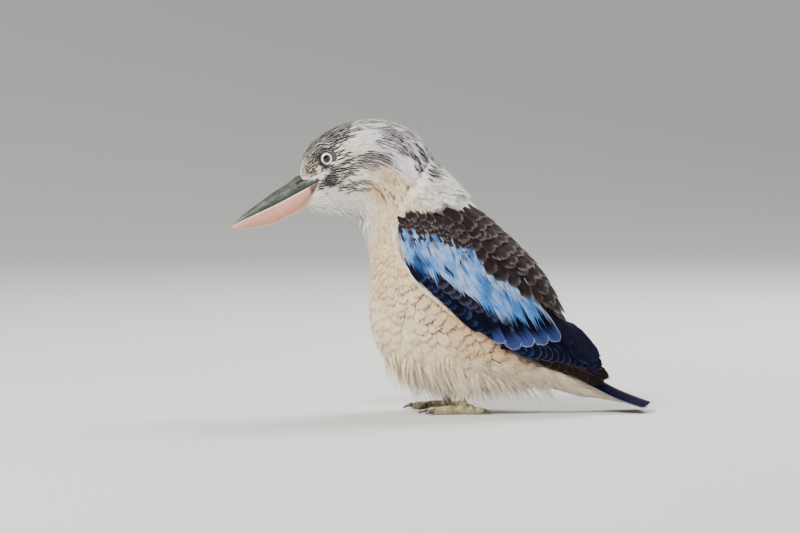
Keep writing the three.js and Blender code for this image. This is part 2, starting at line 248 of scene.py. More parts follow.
class Tree:
    """A node tree of any kind, with one method that adds any node."""
    def __init__(self, tree):
        self.tree = tree

    def node(self, kind, settings=None, sockets=None, out=0):
        made = self.tree.nodes.new(kind)
        for key, value in (settings or {}).items():
            setattr(made, key, value)
        for key, value in (sockets or {}).items():
            if isinstance(value, Socket):
                self.tree.links.new(value.out, made.inputs[key])
            else:
                made.inputs[key].default_value = value
        return Socket(self, made.outputs[out])

    def point(self, x, y, z=0.0):
        return self.node("ShaderNodeCombineXYZ", None, {0: x, 1: y, 2: z})

    def split(self, vector, kind="XYZ"):
        apart = self.node("ShaderNodeSeparate" + kind, None, {0: vector})
        return [Socket(self, apart.out.node.outputs[k]) for k in range(3)]


class Paint(Tree):
    """A material round its Principled shader."""
    def __init__(self, name, **constants):
        self.material = bpy.data.materials.new(name)
        self.material.use_nodes = True
        super().__init__(self.material.node_tree)
        self.shader = self.tree.nodes["Principled BSDF"]
        for socket, value in constants.items():
            self.shader.inputs[socket.replace("_", " ")].default_value = value

    def feed(self, **sockets):
        for key, value in sockets.items():
            self.tree.links.new(value.out, self.shader.inputs[key.replace("_", " ")])

    def mix(self, share, a, b):
        """Between two colours. Each is a socket or three numbers."""
        four = lambda c: c if isinstance(c, Socket) else (*map(float, c), 1.0)
        return self.node("ShaderNodeMix", {"data_type": "RGBA"}, {0: share, 6: four(a), 7: four(b)}, 2)

    def scale(self, colour, factor):
        return self.node("ShaderNodeVectorMath", {"operation": "SCALE"}, {0: colour, "Scale": factor})

    def attribute(self, name, out=0):
        return self.node("ShaderNodeAttribute", {"attribute_name": name}, None, out)

    def place(self):
        return self.node("ShaderNodeTexCoord", None, None, "Object")

    def noise(self, at, scale, detail=2.0, rough=0.5):
        return self.node("ShaderNodeTexNoise", None,
                         {"Vector": at, "Scale": scale, "Detail": detail, "Roughness": rough})

    def relief(self, height, strength, depth):
        self.feed(Normal=self.node("ShaderNodeBump", None, {"Height": height, "Strength": strength,
                                                            "Distance": depth}))


print("shader sums ready")

# %% [markdown]
# ## What a feather is made of
#
# A feather is a shaft with barbs that leave it at a slant, so its colour is never flat: each barb
# catches the light a little differently. Three things are kept with every feather as it is made: its
# own colour, the colour of its rim, and how strong its dark shaft streak, its rim and its fading tip are.
# One recipe then paints them all, and only the barbs, the gloss and the rim's width differ.

# %% Feather material
def feather_paint(name, barbs, slant, contrast, roughness, rim_width=0.22, sheen=0.0, depth=0.00012,
                  gloss=0.3, core=0.42):
    paint = Paint(name, Roughness=roughness, Sheen_Weight=sheen, Sheen_Roughness=0.45,
                  Specular_IOR_Level=gloss)
    x, y, _ = paint.split(paint.node("ShaderNodeUVMap", {"uv_map": "vane"}))
    out = abs(x * 2.0 - 1.0)
    own, rim = paint.attribute("tint"), paint.attribute("rim")
    streak, rim_share, fade = paint.split(paint.attribute("mark"), "Color")
    luck, long = paint.attribute("luck", 2), paint.attribute("long", 2)

    # The barbs, and the wider locks that they clump into.
    barb = (y - out * slant) * long
    fine = paint.noise(paint.point(barb * barbs, out * 1.5, luck * 37.0), 1.0, 3.0, 0.65)
    lock = paint.noise(paint.point(x * 9.0, y * 1.2, luck * 91.0), 1.0, 2.0, 0.5)
    shade = 1.0 + (fine - 0.5) * contrast + (lock - 0.5) * contrast

    # The tip fades to the rim's colour, the heart is dark, the edge takes the rim, and the shaft shows.
    tip = (y + (lock - 0.5) * 0.25).ramp(1.0 - 0.75 * fade, 1.0) * fade.ramp(0.0, 0.05)
    colour = paint.mix(tip, own, rim)
    centre = (out - streak * core + (lock - 0.5) * 0.4).ramp(0.42, 0.12)
    centre = centre * (y + (lock - 0.5) * 0.2).ramp(0.1, 0.3) * streak.ramp(0.0, 0.5)
    colour = paint.mix(centre, colour, STREAK)
    inwards = (1.0 - out).least((1.0 - y) * long) + (fine - 0.5) * 0.12
    edge = inwards.ramp(rim_width, rim_width * 0.5) * (1.0 - inwards.ramp(0.06, 0.0) * 0.5)
    colour = paint.mix(edge * rim_share, colour, rim)
    shaft = out.ramp(0.06, 0.02) * (1.0 - y.ramp(0.8, 0.95)) * 0.25
    colour = paint.mix(shaft, colour, STREAK)
    paint.feed(Base_Color=paint.scale(colour, shade.most(0.2)))
    paint.relief(fine + lock * 0.6, 0.55, depth)
    return paint.material


soft = feather_paint("soft feathers", 9.0, 0.5, 0.3, 0.8, rim_width=0.22, sheen=0.1)
fine_hair = feather_paint("head feathers", 2.5, 0.1, 0.25, 0.75, sheen=0.1, depth=0.00006, core=0.16)
firm = feather_paint("wing feathers", 8.0, 0.35, 0.4, 0.7, gloss=0.03)
blue_black = feather_paint("tail feathers", 6.0, 0.2, 0.3, 0.6, rim_width=0.12, gloss=0.03)
print("feather materials:", soft.name, "/", fine_hair.name, "/", firm.name, "/", blue_black.name)

# %% [markdown]
# ## A vane of mesh
#
# Each vane is a small curved sheet along its shaft, a few columns wide. Its end isn't cut straight:
# every column ends in a tooth of its own length, so that the edge is as ragged as barbs are. The sheet
# dips towards its sides and lifts towards its tip, and its tip lies on the roots of the next ones.
# All the feathers of a tract are made at once as arrays and joined into one mesh.

# %% Making many vanes at once
def sheet(rows, columns):
    """Vertices of one vane as (across, along, is it a tooth), and its faces."""
    w = np.linspace(-1, 1, columns + 1)
    grid = [(x, y, 0.0) for y in np.linspace(0, 1, rows + 1) for x in w]
    teeth = [((w[j] + w[j + 1]) / 2, 1.0, 1.0) for j in range(columns)]
    faces = []
    for k in range(rows):
        for j in range(columns):
            a = k * (columns + 1) + j
            faces.append((a, a + columns + 1, a + columns + 2, a + 1))
    first = rows * (columns + 1)
    for j in range(columns):
        faces.append((first + j, len(grid) + j, first + j + 1))
    return np.array(grid + teeth), faces


# How far above the floor the lowest feathers stay, in mm.
FLOOR_GAP = 0.3


class Coat:
    """Collects tracts of feathers and makes them one mesh."""
    def __init__(self, name):
        self.name = name
        self.points, self.faces, self.vane, self.bake = [], [], [], []
        self.kept = {key: [] for key in ("tint", "rim", "mark", "luck", "long")}
        self.count = self.feathers = 0

    def lay(self, path, normal, width, rows, columns, look, root_at, rng, blunt=0.3, rag=0.15, low=0.0,
            high=2.0, camber=0.25, fluff=0.15, narrow=0.35, taper=0.15, patch=0.003):
        """Adds a feather for each path of points in mm, (feathers, steps, 3), from root to tip.

        look holds their colours and marks. low and high are how far the root and the tip stand off
        the path, blunt and rag shape the end, and camber, fluff, narrow and taper shape the sheet.
        """
        n, steps, _ = path.shape
        if n == 0:
            return
        shape, faces = sheet(rows, columns)
        w, v, tooth = shape[:, 0][None], shape[:, 1][None], shape[:, 2][None]
        wide = lambda value: np.broadcast_to(np.asarray(value, float).reshape(-1, 1), (n, 1))
        blunt, rag, width, low, high = (wide(q) for q in (blunt, rag, width, low, high))
        ahead = unit(np.gradient(path, axis=1))
        across = unit(np.cross(normal, ahead))
        end = 1 - blunt * (1 - np.sqrt(np.clip(1 - 0.97 * w * w, 0, 1)))
        jitter = rng.normal(0, 1, (n, len(shape))) * tooth
        along = np.where(tooth > 0, end * (1 + 0.35 * rag * jitter), v * end * (1 - rag))
        half = width / 2 * (narrow + (1 - narrow) * ramp(along, 0, 0.45)) * (1 - taper * along**3)
        at = np.clip(along, 0, 1.25) * (steps - 1)
        i = np.clip(np.floor(at).astype(int), 0, steps - 2)
        f = (at - i)[..., None]
        row = np.arange(n)[:, None]
        pick = lambda q: q[row, i] * (1 - f) + q[row, i + 1] * f
        drift = rng.normal(0, 1, (n, len(shape))) * tooth * fluff
        lift = low + (high - low) * np.clip(along, 0, 1.2) ** 1.25 - camber * half * w * w + drift
        side = w * half + rng.normal(0, 1, (n, len(shape))) * tooth * half / columns * 0.5
        spots = pick(path) + pick(across) * side[..., None] + pick(normal) * lift[..., None]

        m = len(shape)
        offset = self.count + np.arange(n)[:, None] * m
        for size in (3, 4):
            kind = np.array([face for face in faces if len(face) == size])
            self.faces.append((offset[:, :, None] + kind[None]).reshape(-1, size))
        self.points.append(spots.reshape(-1, 3))
        up_vane = np.where(tooth > 0, 1.0, v * (1 - rag * 0.6))
        self.vane.append(np.stack(np.broadcast_arrays(w * 0.5 + 0.5, up_vane), -1).reshape(-1, 2))
        place = np.stack(np.broadcast_arrays(root_at[:, None, 0] + w * patch / 2,
                                             root_at[:, None, 1] + (v - 0.5) * patch), -1)
        self.bake.append(place.reshape(-1, 2))
        for key, values in look.items():
            self.kept[key].append(np.repeat(values, m, axis=0))
        self.kept["luck"].append(np.repeat(rng.random(n), m))
        length = np.linalg.norm(np.diff(path, axis=1), axis=2).sum(1)
        self.kept["long"].append(np.repeat(2 * length / width[:, 0], m))
        self.count += n * m
        self.feathers += n

    def make(self, material, slot, *nodes):
        """Makes the piece, which stands for the solids named last."""
        points = np.concatenate(self.points) * MM
        points[:, 2] = np.maximum(points[:, 2], FLOOR_GAP * MM)
        quads = np.concatenate([f for f in self.faces if f.shape[1] == 4])
        tris = np.concatenate([f for f in self.faces if f.shape[1] == 3])
        mesh = mesh_of(self.name, points, quads, tris)
        corner = np.concatenate([quads.reshape(-1), tris.reshape(-1)])
        for name, values in (("vane", self.vane), ("OFBake", self.bake)):
            layer = mesh.uv_layers.new(name=name)
            layer.data.foreach_set("uv", np.concatenate(values)[corner].astype(np.float32).ravel())
        paint_points(mesh, **{key: np.concatenate(values) for key, values in self.kept.items()})
        piece = finish_piece(self.name, mesh, material, slot, *nodes)
        print(f"{self.name}: {self.feathers} feathers, {len(quads) * 2 + len(tris)} triangles")
        return piece


def mesh_of(name, points, quads, tris=None):
    """A mesh from arrays of points in metres, four-sided faces and triangles."""
    tris = np.zeros((0, 3), int) if tris is None else np.asarray(tris, int)
    quads = np.zeros((0, 4), int) if quads is None else np.asarray(quads, int)
    mesh = bpy.data.meshes.new(name)
    mesh.vertices.add(len(points))
    mesh.vertices.foreach_set("co", np.asarray(points, np.float32).ravel())
    corners = np.concatenate([quads.reshape(-1), tris.reshape(-1)]).astype(np.int32)
    mesh.loops.add(len(corners))
    mesh.loops.foreach_set("vertex_index", corners)
    sizes = np.concatenate([np.full(len(quads), 4), np.full(len(tris), 3)])
    mesh.polygons.add(len(sizes))
    mesh.polygons.foreach_set("loop_start", np.concatenate([[0], np.cumsum(sizes)[:-1]]).astype(np.int32))
    mesh.update(calc_edges=True)
    mesh.polygons.foreach_set("use_smooth", np.ones(len(sizes), bool))
    return mesh


def paint_points(mesh, **layers):
    """Keeps a number or a colour with every point of a mesh."""
    for name, values in layers.items():
        if values.ndim == 1:
            mesh.attributes.new(name, "FLOAT", "POINT").data.foreach_set("value", values.astype(np.float32))
        else:
            full = np.concatenate([values, np.ones((len(values), 1))], axis=1).astype(np.float32)
            mesh.attributes.new(name, "FLOAT_COLOR", "POINT").data.foreach_set("color", full.ravel())


def stand(name, mesh):
    """Puts a mesh in the scene as an object of its own."""
    piece = bpy.data.objects.new(name, mesh)
    bpy.context.scene.collection.objects.link(piece)
    return piece


def declare(piece, slot, *nodes):
    """Tells the frame what a piece rides on, and which solids it stands for. The slot, its finish, is not
    used.
    """
    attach(piece, "root")
    if nodes:
        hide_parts(*nodes)


def finish_piece(name, mesh, material, slot, *nodes):
    """A piece of one mesh and one material."""
    mesh.materials.append(material)
    piece = stand(name, mesh)
    declare(piece, slot, *nodes)
    return piece


print("one vane of 3 rows and 6 columns has", len(sheet(3, 6)[1]), "faces")

# %% [markdown]
# ## Where the small feathers grow
#
# Roots are spread evenly, but not in a grid: a point is kept only if no other is too near. The walk
# from each root follows the surface towards the tail, turned a little where the plumage parts, such
# as round the eye.

# %% Spreading roots and walking along the surface
EYE_AT = np.array([15.3, -91.0, 203.6])
EYE_RADIUS = 6.4
NEXT_CELLS = list(itertools.product((-1, 0, 1), repeat=3))


def crowded(cells, key, p, gap):
    """True if a root that is kept already lies nearer to p than gap."""
    for dx, dy, dz in NEXT_CELLS:
        for q in cells.get((key[0] + dx, key[1] + dy, key[2] + dz), ()):
            if (q[0] - p[0]) ** 2 + (q[1] - p[1]) ** 2 + (q[2] - p[2]) ** 2 < gap * gap:
                return True
    return False


def spread(start, stop, gap, seed, wings=False, keep=None):
    """Roots on the body between two stations, about gap mm apart, as along and round values."""
    rng = np.random.default_rng(seed)
    # Many more tries than there is room for, so that hardly a gap stays open.
    tries = int(900000 / gap**2 * (stop - start) / 14) * 2
    along = rng.uniform(start, stop, tries)
    round_ = rng.uniform(-math.pi, math.pi, tries)
    a, r, _ = tangents(along, round_, wings)
    area = np.linalg.norm(np.cross(a, r), axis=1)
    chosen = rng.random(tries) < area / np.percentile(area, 99)
    along, round_ = along[chosen], round_[chosen]
    spots = body(along, round_, 0, wings)
    if keep is not None:
        ok = keep(spots, along, round_)
        along, round_, spots = along[ok], round_[ok], spots[ok]
    cells, kept = {}, []
    keys = np.floor(spots / gap).astype(int)
    for index, (key, p) in enumerate(zip(map(tuple, keys), spots)):
        if not crowded(cells, key, p, gap):
            cells.setdefault(key, []).append(p)
            kept.append(index)
    return along[kept], round_[kept]


def walk(along, round_, length, turn, wings=False, steps=5):
    """Paths from the roots along the surface: points and normals, (feathers, steps, 3).

    Each step is solved in the surface's own two directions, so that it keeps its length in mm.
    """
    along, round_ = along.copy(), round_.copy()
    path, normals = [], []
    stride = length / (steps - 1)
    for k in range(steps):
        along = np.clip(along, 0.03, 14.7)
        a, r, n = tangents(along, round_, wings)
        path.append(body(along, round_, 0, wings))
        normals.append(n)
        t = unit(a)
        b = np.cross(n, t)
        h = t * np.cos(turn)[:, None] + b * np.sin(turn)[:, None]
        e, f, g = (a * a).sum(1), (a * r).sum(1), (r * r).sum(1)
        p, q = (h * a).sum(1), (h * r).sum(1)
        det = np.maximum(e * g - f * f, 1e-6)
        along = along + stride * (p * g - q * f) / det
        round_ = round_ + stride * (q * e - p * f) / det
    return np.stack(path, 1), np.stack(normals, 1)


def bake_place(along, round_, start, stop):
    """A root's place on the skin unrolled flat, along it and round it."""
    u = 0.01 + 0.98 * (along - start) / (stop - start)
    v = 0.01 + 0.98 * ((round_ / (2 * math.pi) + 0.5) % 1.0)
    return np.stack([u, v], 1)


def tree_of(*names):
    """A search tree of some solids, in mm."""
    points, faces = [], []
    for name in names:
        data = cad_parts[name].data
        base = len(points)
        points += [v.co / MM for v in data.vertices]
        faces += [[base + i for i in p.vertices] for p in data.polygons]
    return BVHTree.FromPolygons(points, faces)


bill_tree = tree_of("bill_upper", "bill_lower")


def outside_bill(spots, clear):
    """True for spots at least clear mm outside the bill, or on the chin behind its lower half."""
    keep = np.ones(len(spots), bool)
    near = np.nonzero(spots[:, 1] < -88)[0]
    for i in near:
        hit, normal, _, _ = bill_tree.find_nearest(Vector(spots[i]))
        keep[i] = (Vector(spots[i]) - hit).dot(normal) > clear
    y, z = spots[:, 1], spots[:, 2]
    # The chin starts behind a line from the mouth's corner down to the blade's lower edge.
    return keep | ((z < 178) & ((y + 96.8) * 17.4 > (z - 180.0) * 12.2))


head_roots = spread(0.04, 5.3, 1.45, 11)
print("roots on the head:", len(head_roots[0]))

# %% [markdown]
# ## The markings of the small feathers
#
# One function says what colour a feather is by where it grows, and the skin asks the same function.
# The head is white with dark streaks: dense on the forehead, the nape and behind the eye, absent on a
# patch beside the crown. Below, cream turns to buff on the flanks, where thin dark rims line it.

# %% What a coat keeps for each feather
def look_of(tint, rim, streak=0.0, rim_share=0.0, fade=0.0):
    """Two colours for each feather, and how strong its dark streak, its rim and its fading tip are."""
    n = len(tint)
    marks = [np.broadcast_to(q, n) for q in (streak, rim_share, fade)]
    return {"tint": tint, "rim": np.broadcast_to(rim, (n, 3)), "mark": np.stack(marks, 1)}


def only(look, ok):
    """The looks of some of the feathers."""
    return {key: values[ok] for key, values in look.items()}


# %% Dark streaks of the head
# Each oval on the side of the head: how dark, its middle, its radii, and its turn in degrees.
DARK_OVALS = (
    (0.95, (-101, 209), (9, 9), 0), (0.8, (-36, 221), (27, 13), -20), (0.74, (-15, 205), (16, 10), -50),
    (0.9, (-58, 203), (17, 6.5), 8), (0.85, (-79, 203.5), (7, 6), 0), (1.0, (-80, 192.3), (19, 2.8), 17),
    (0.85, (-90, 195), (8, 4.5), 0), (0.6, (-104, 198), (8, 10), 0), (0.85, (-96.5, 182.5), (7, 4.5), 0),
    (0.3, (-74, 184), (19, 9), 0), (0.16, (-45, 190), (22, 22), 0),
)
WHITE_OVAL = (-62, 222.5), (12.5, 5.5), 8


def head_streaks(y, z, along, round_, luck):
    """How strong each feather's dark streak is: dense in the ovals and on the crown, then scattered."""
    turned = np.abs(round_)
    across = round_ * curve(STATIONS[:, 4:5], along)[:, 0]
    grain = noise(across / 1.15, along * 1.7, 5) * 0.65 + noise(across, along * 3.6, 6) * 0.35
    crown = ramp(turned, 1.52 - 0.17 * along, 1.25 - 0.17 * along) * ramp(along, 5.4, 4.4)
    ovals = [share * spot(y, z, *where) for share, *where in DARK_OVALS]
    density = np.maximum.reduce([(0.85 + 0.5 * ramp(y, -66, -84)) * crown] + ovals)
    density = density * (1 - 0.93 * spot(y, z, *WHITE_OVAL))
    streak = ramp(density * 0.58 + (grain - 0.5) * 1.5 + (luck - 0.5) * 0.28, 0.12, 0.42)
    streak = streak * ramp(density, 0.02, 0.25)
    streak = np.maximum(streak, (luck > 0.87) * np.minimum(1, density * 2.5) * 0.8)
    streak = streak * (0.75 + 0.25 * ramp(y, -50, -76) + 2.0 * ramp(y, -68, -90))
    # A few faint lines run on down the side of the neck.
    neck = ramp(z, 110, 150) * ramp(along, 8.6, 6.5) * ramp(along, 4.2, 5.2) * (1 - ramp(turned, 1.5, 0.9))
    return np.maximum(streak, (luck > 0.9) * 0.2 * neck)


# %% Ground colours
def ground_colour(y, z, along, round_, luck, blotch):
    """White on the head and cream below it, stained yellow and rust, before any streak or rim."""
    turned = np.abs(round_)
    back_of_neck = ramp(turned, 1.5, 0.9) * ramp(along, 4.8, 5.6)
    throat = ramp(z, 178, 168) * ramp(along, 4.6, 3.6) + ramp(turned, 2.3, 2.7) * ramp(along, 5.5, 4.5)
    flank = spot(y, z, (45, 72), (75, 40), -35)
    below_ear = spot(y, z, (-44, 193), (9, 8)) * 0.6 + spot(y, z, (-56, 178), (9, 8)) * 0.55
    breast = spot(y, z, (-42, 125), (16, 34)) * 0.7
    belly = ramp(z, 50, 26) * ramp(along, 8, 9.5)
    at_bill = spot(y, z, (-104, 196), (8, 9)) * 0.45 + spot(y, z, (-68, 212), (9, 5)) * 0.4
    grey = np.maximum(spot(y, z, (-56, 204), (14, 5), 5) * 0.8, spot(y, z, (-33, 220), (24, 11), -22) * 0.3)

    tint = np.broadcast_to(CREAM, (len(y), 3))
    for colour, share in (
        (WHITE, np.clip(ramp(along, 4.8, 3.0) * 0.8 + back_of_neck + throat, 0, 1)),
        (BUFF, below_ear + breast * blotch),
        (RUST, flank * (0.25 + 0.5 * blotch) * (1 - 0.6 * belly)),
        (rgb("#efe1cf"), belly * 0.55),
        (rgb("#f3ddd4"), spot(y, z, (-62, 168), (9, 12)) * 0.6),
        (rgb("#e2d3a4"), at_bill),
        (rgb("#e6e4e8"), spot(y, z, (-36, 214), (32, 20), -25) * 0.9),
        (rgb("#776c78"), grey * (0.3 + 0.6 * luck)),
    ):
        tint = blend(tint, colour, share)
    return tint


# %% Markings of the head, neck and body
def markings(spots, along, round_, seed):
    """Colours and marks for feathers rooted at these spots, in mm."""
    y, z = spots[:, 1], spots[:, 2]
    turned = np.abs(round_)
    rng = np.random.default_rng(seed)
    luck = rng.random(len(y))
    blotch = noise(y / 9, z / 9 + 40, 7)
    tint = ground_colour(y, z, along, round_, luck, blotch)
    tint = tint * (0.86 + 0.18 * rng.random(len(y)))[:, None]
    # Under the mantle the skin is dark, and between the wings it is azure.
    tint = blend(tint, SLATE, ramp(turned, 1.5, 1.2) * ramp(along, 7.05, 7.3))
    tint = blend(tint, AZURE * 0.6, ramp(turned, 1.25, 0.95) * ramp(along, 9.6, 10.2))

    under_wing_edge = spot(y, z, (9, 74), (74, 23), -40)
    scallop = ramp(along, 6.1, 7.0) * ramp(z, 26, 40) * (0.15 + 0.85 * under_wing_edge)
    scallop = scallop * ramp(blotch * 0.7 + 0.6 * luck, 0.22, 0.45)
    return look_of(tint, rgb("#1f140d"), head_streaks(y, z, along, round_, luck), 1.25 * scallop)


sample = markings(body(*head_roots), *head_roots, 1)
print("share of dark-streaked feathers on the head:", round(float((sample["mark"][:, 0] > 0.5).mean()), 2))

# %% [markdown]
# ## The skin
#
# Under the coat lies one closed skin. It is the same surface drawn in by the depth of the feathers,
# joined with the thighs and the fleshy part of the wings, and then remeshed, which melts them into one
# body without a seam. It carries the coat's markings a little darker, as painted shade, so that any gap
# between feathers shows the coat's colour in shadow.

# %% Closed surfaces from rings
def strips(rings, sides):
    """The four-sided faces between rings of points, where each ring closes on itself."""
    i, j = np.meshgrid(np.arange(rings - 1), np.arange(sides), indexing="ij")
    k = (j + 1) % sides
    corners = [i * sides + j, i * sides + k, (i + 1) * sides + k, (i + 1) * sides + j]
    return np.stack(corners, -1).reshape(-1, 4)


def ring_surface(rings):
    """Points and faces of a closed surface through rings of points, (rings, sides, 3)."""
    n, m, _ = rings.shape
    points = np.concatenate([rings.reshape(-1, 3), rings[0].mean(0)[None], rings[-1].mean(0)[None]])
    side = np.arange(m)
    first = np.stack([np.full(m, n * m), (side + 1) % m, side], 1)
    last = np.stack([np.full(m, n * m + 1), (n - 1) * m + side, (n - 1) * m + (side + 1) % m], 1)
    return points, strips(n, m), np.concatenate([first, last])


def faces_out(points, quads, tris):
    """Turns every face round if the closed surface is inside out."""
    both = np.concatenate([quads[:, :3], quads[:, [0, 2, 3]], tris])
    a, b, c = (points[both[:, k]] for k in range(3))
    volume = np.einsum("ij,ij->i", a, np.cross(b, c)).sum()
    return (quads, tris) if volume > 0 else (quads[:, ::-1], tris[:, ::-1])


def apply_modifiers(piece):
    """Replaces a piece's mesh by what its modifiers make of it."""
    made = bpy.data.meshes.new_from_object(piece.evaluated_get(bpy.context.evaluated_depsgraph_get()))
    piece.modifiers.clear()
    piece.data = made
    return made


def melt(piece, voxel, rounds):
    """Melts the shells of a piece into one skin with faces of about voxel mm, and relaxes it."""
    remesh = piece.modifiers.new("melt", "REMESH")
    remesh.mode, remesh.voxel_size = "VOXEL", voxel * MM
    relax = piece.modifiers.new("relax", "SMOOTH")
    relax.factor, relax.iterations = 0.5, rounds
    return apply_modifiers(piece)


places_along = np.linspace(0.05, 14.0, 190)
places_round = np.linspace(-math.pi, math.pi, 96, endpoint=False)
grid_along, grid_round = np.meshgrid(places_along, places_round, indexing="ij")
print("the body's surface as a grid of", grid_along.shape)

# %% One skin under everything
SKIN_VOXEL = 1.5
# The depth of the coat at each station.
COAT_DEPTH = np.array([0.5, 0.8, 1.0, 1.3, 1.8, 2.4, 2.8, 3.2,
                       3.5, 3.8, 3.8, 3.4, 2.8, 2.2, 1.8, 1.5])[:, None]
# How far in the flesh of a wing lies, and the share of its solid that the flesh of a limb fills.
WING_INSET = 3.2
WING_FILL, THIGH_FILL = np.array([1.0, 0.965, 0.955]), np.array([0.82, 0.82, 0.9])


def coat_depth(along):
    return curve(COAT_DEPTH, along)[..., 0]


points, quads, tris = ring_surface(body(grid_along, grid_round, -coat_depth(grid_along)))
body_quads, tris = faces_out(points, quads, tris)
parts = [(points, [list(q) for q in body_quads] + [list(t) for t in tris])]
for name in ("wing_left", "wing_right", "thigh_left", "thigh_right"):
    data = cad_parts[name].data
    coords = np.array([v.co for v in data.vertices]) / MM
    centre, fill = coords.mean(0), THIGH_FILL
    if name.startswith("wing"):
        coords[:, 0] -= np.sign(centre[0]) * WING_INSET
        fill = WING_FILL
    parts.append((centre + (coords - centre) * fill, [list(p.vertices) for p in data.polygons]))
all_points, all_faces = [], []
for coords, faces in parts:
    base = len(all_points)
    all_points += [tuple(c * MM) for c in coords]
    all_faces += [[base + i for i in f] for f in faces]
skin_mesh = bpy.data.meshes.new("skin")
skin_mesh.from_pydata(all_points, [], all_faces)
skin = stand("skin", skin_mesh)
skin_mesh = melt(skin, SKIN_VOXEL, 4)
skin_mesh.name = "skin"
print("skin:", len(skin_mesh.vertices), "points")

# %% [markdown]
# The remeshed skin has lost its own idea of along and round, so each of its points takes them from the
# nearest point of the surface it was made from. Its colours would still change in steps as coarse as
# its faces, so each point's colour is then drawn towards its neighbours'.

# %% Markings on the skin
def field_of(items, name, size, kind=np.float32):
    """A field of every vertex or edge of a mesh, as the rows of an array."""
    values = np.empty(len(items) * size, kind)
    items.foreach_get(name, values)
    return values.reshape(-1, size)


lookup = BVHTree.FromPolygons([Vector(p) for p in body(grid_along, grid_round).reshape(-1, 3)],
                              [list(q) for q in body_quads])
skin_points = field_of(skin_mesh.vertices, "co", 3) / MM
nearest = np.array([lookup.find_nearest(Vector(p))[2] for p in skin_points])
skin_along = grid_along.reshape(-1)[body_quads[nearest, 0]]
skin_round = grid_round.reshape(-1)[body_quads[nearest, 0]]
skin_look = markings(skin_points, skin_along, skin_round, 3)
on_wing = np.abs(skin_points[:, 0]) > np.abs(body(skin_along, skin_round)[:, 0]) + 0.3
# The wing's front edge faces ahead and down, and belongs to the breast.
ahead_and_down = field_of(skin_mesh.vertices, "normal", 3) @ np.array([0.0, -0.75, -0.66])
fore_edge = (ahead_and_down > 0.35) & (skin_points[:, 1] < 15)
dark_skin = blend(SLATE * 0.6, NIGHT, ramp(skin_points[:, 1], 82, 90))
# The skin is painted darker than the coat over it, as painted shade of the gaps between feathers: 0.87 of the
# coat's colour on the body, and 0.85 of cream on the wing's front edge.
skin_look["tint"] = np.where((on_wing & ~fore_edge)[:, None], dark_skin,
                             np.where(on_wing[:, None], CREAM * 0.85, skin_look["tint"] * 0.87))
ends = field_of(skin_mesh.edges, "vertices", 2, np.int32)
ends = np.concatenate([ends, ends[:, ::-1]])
neighbours = np.bincount(ends[:, 0])[:, None]
for _ in range(10):
    around = np.stack([np.bincount(ends[:, 0], skin_look["tint"][ends[:, 1], k]) for k in range(3)], 1)
    skin_look["tint"] = 0.5 * skin_look["tint"] + 0.5 * around / neighbours
paint_points(skin_mesh, tint=skin_look["tint"], rim=skin_look["rim"], mark=skin_look["mark"] * 0,
             luck=np.zeros(len(skin_points)), long=np.ones(len(skin_points)))
skin_mesh.uv_layers.new(name="vane")
skin_mesh.polygons.foreach_set("use_smooth", np.ones(len(skin_mesh.polygons), bool))
skin_mesh.materials.append(soft)
declare(skin, "plumage", "head", "neck", "trunk", "thigh_left", "thigh_right")
print("skin points on the wings:", int(on_wing.sum()))

# %% [markdown]
# ## The small feathers of the head
#
# These are the finest on the bird: narrow, soft, and short on the face. They lie back from the bill
# over the crown. Round the eye they turn aside, and none may lie across it.

# %% Laying small feathers
# The middle of the lids' opening, beside the eye's own middle, and how near a feather may pass it.
LIDS_AT = EYE_AT + np.array([4.5, 0.5, -0.3])
LIDS_REACH = 5.7


def clear_of_eye(path):
    """True for feathers that pass neither eye too near."""
    spots = np.concatenate([np.abs(path[..., :1]), path[..., 1:]], -1)
    return (np.linalg.norm(spots - LIDS_AT, axis=-1) > LIDS_REACH).all(1)


def lay_small(coat, roots, length, width, turn, span, seed, rows, columns, **shape):
    """Feathers that follow the body's surface, marked by where they grow."""
    along, round_ = roots
    rng = np.random.default_rng(seed)
    path, normal = walk(along, round_, length, turn)
    ok = clear_of_eye(path) & outside_bill(path[:, 0], -0.9) & outside_bill(path[:, -1], -0.4)
    shape = {key: value[ok] if isinstance(value, np.ndarray) else value for key, value in shape.items()}
    coat.lay(path[ok], normal[ok], width[ok], rows, columns,
             only(markings(path[:, 1], along, round_, seed), ok),
             bake_place(along, round_, *span)[ok], rng, **shape)


print("feathers part round the eye at", LIDS_REACH, "mm")

# %% Head feathers
# Their length and width at each station from the bill back.
HEAD_LONG = np.array([4.0, 4.8, 6.2, 8.2, 9.5, 11.0, 12.0])[:, None]
HEAD_WIDE = np.array([1.6, 1.9, 2.2, 2.7, 3.2, 3.6, 4.0])[:, None]

rng = np.random.default_rng(21)
along, round_ = head_roots
root = body(along, round_)
n = len(along)
length = curve(HEAD_LONG, along)[:, 0] * rng.uniform(0.85, 1.2, n)
width = curve(HEAD_WIDE, along)[:, 0] * rng.uniform(0.8, 1.2, n)
side_eye = np.abs(root) * [1, 0, 0] + root * [0, 1, 1] - EYE_AT
near_eye = ramp(np.linalg.norm(side_eye, axis=1), 17, 8) * ramp(side_eye[:, 1], 4, -4)
aside = np.sign(root[:, 0]) * np.where(side_eye[:, 2] > 0, -1.0, 1.0)
turn = rng.normal(0, 0.06, n) + near_eye * 0.75 * aside
depth = coat_depth(along)
head_coat = Coat("head_feathers")
front = along < 2.6
chin = ramp(np.abs(round_), 2.3, 2.7) * ramp(along, 5.0, 4.0)
length *= 1 + 0.7 * chin * rng.random(n)
stand_off = 0.25 + 4.5 * chin * rng.random(n) ** 3 + 0.4 * ramp(along, 2.2, 3.6) * (rng.random(n) > 0.85)
for part, rows, columns in ((front, 3, 4), (~front, 3, 5)):
    lay_small(head_coat, (along[part], round_[part]), length[part], width[part], turn[part], (0.0, 5.6), 22,
              rows, columns, low=-depth[part], high=stand_off[part], blunt=0.5, rag=0.45, camber=0.3,
              fluff=0.16)
head_coat.make(fine_hair, "plumage")

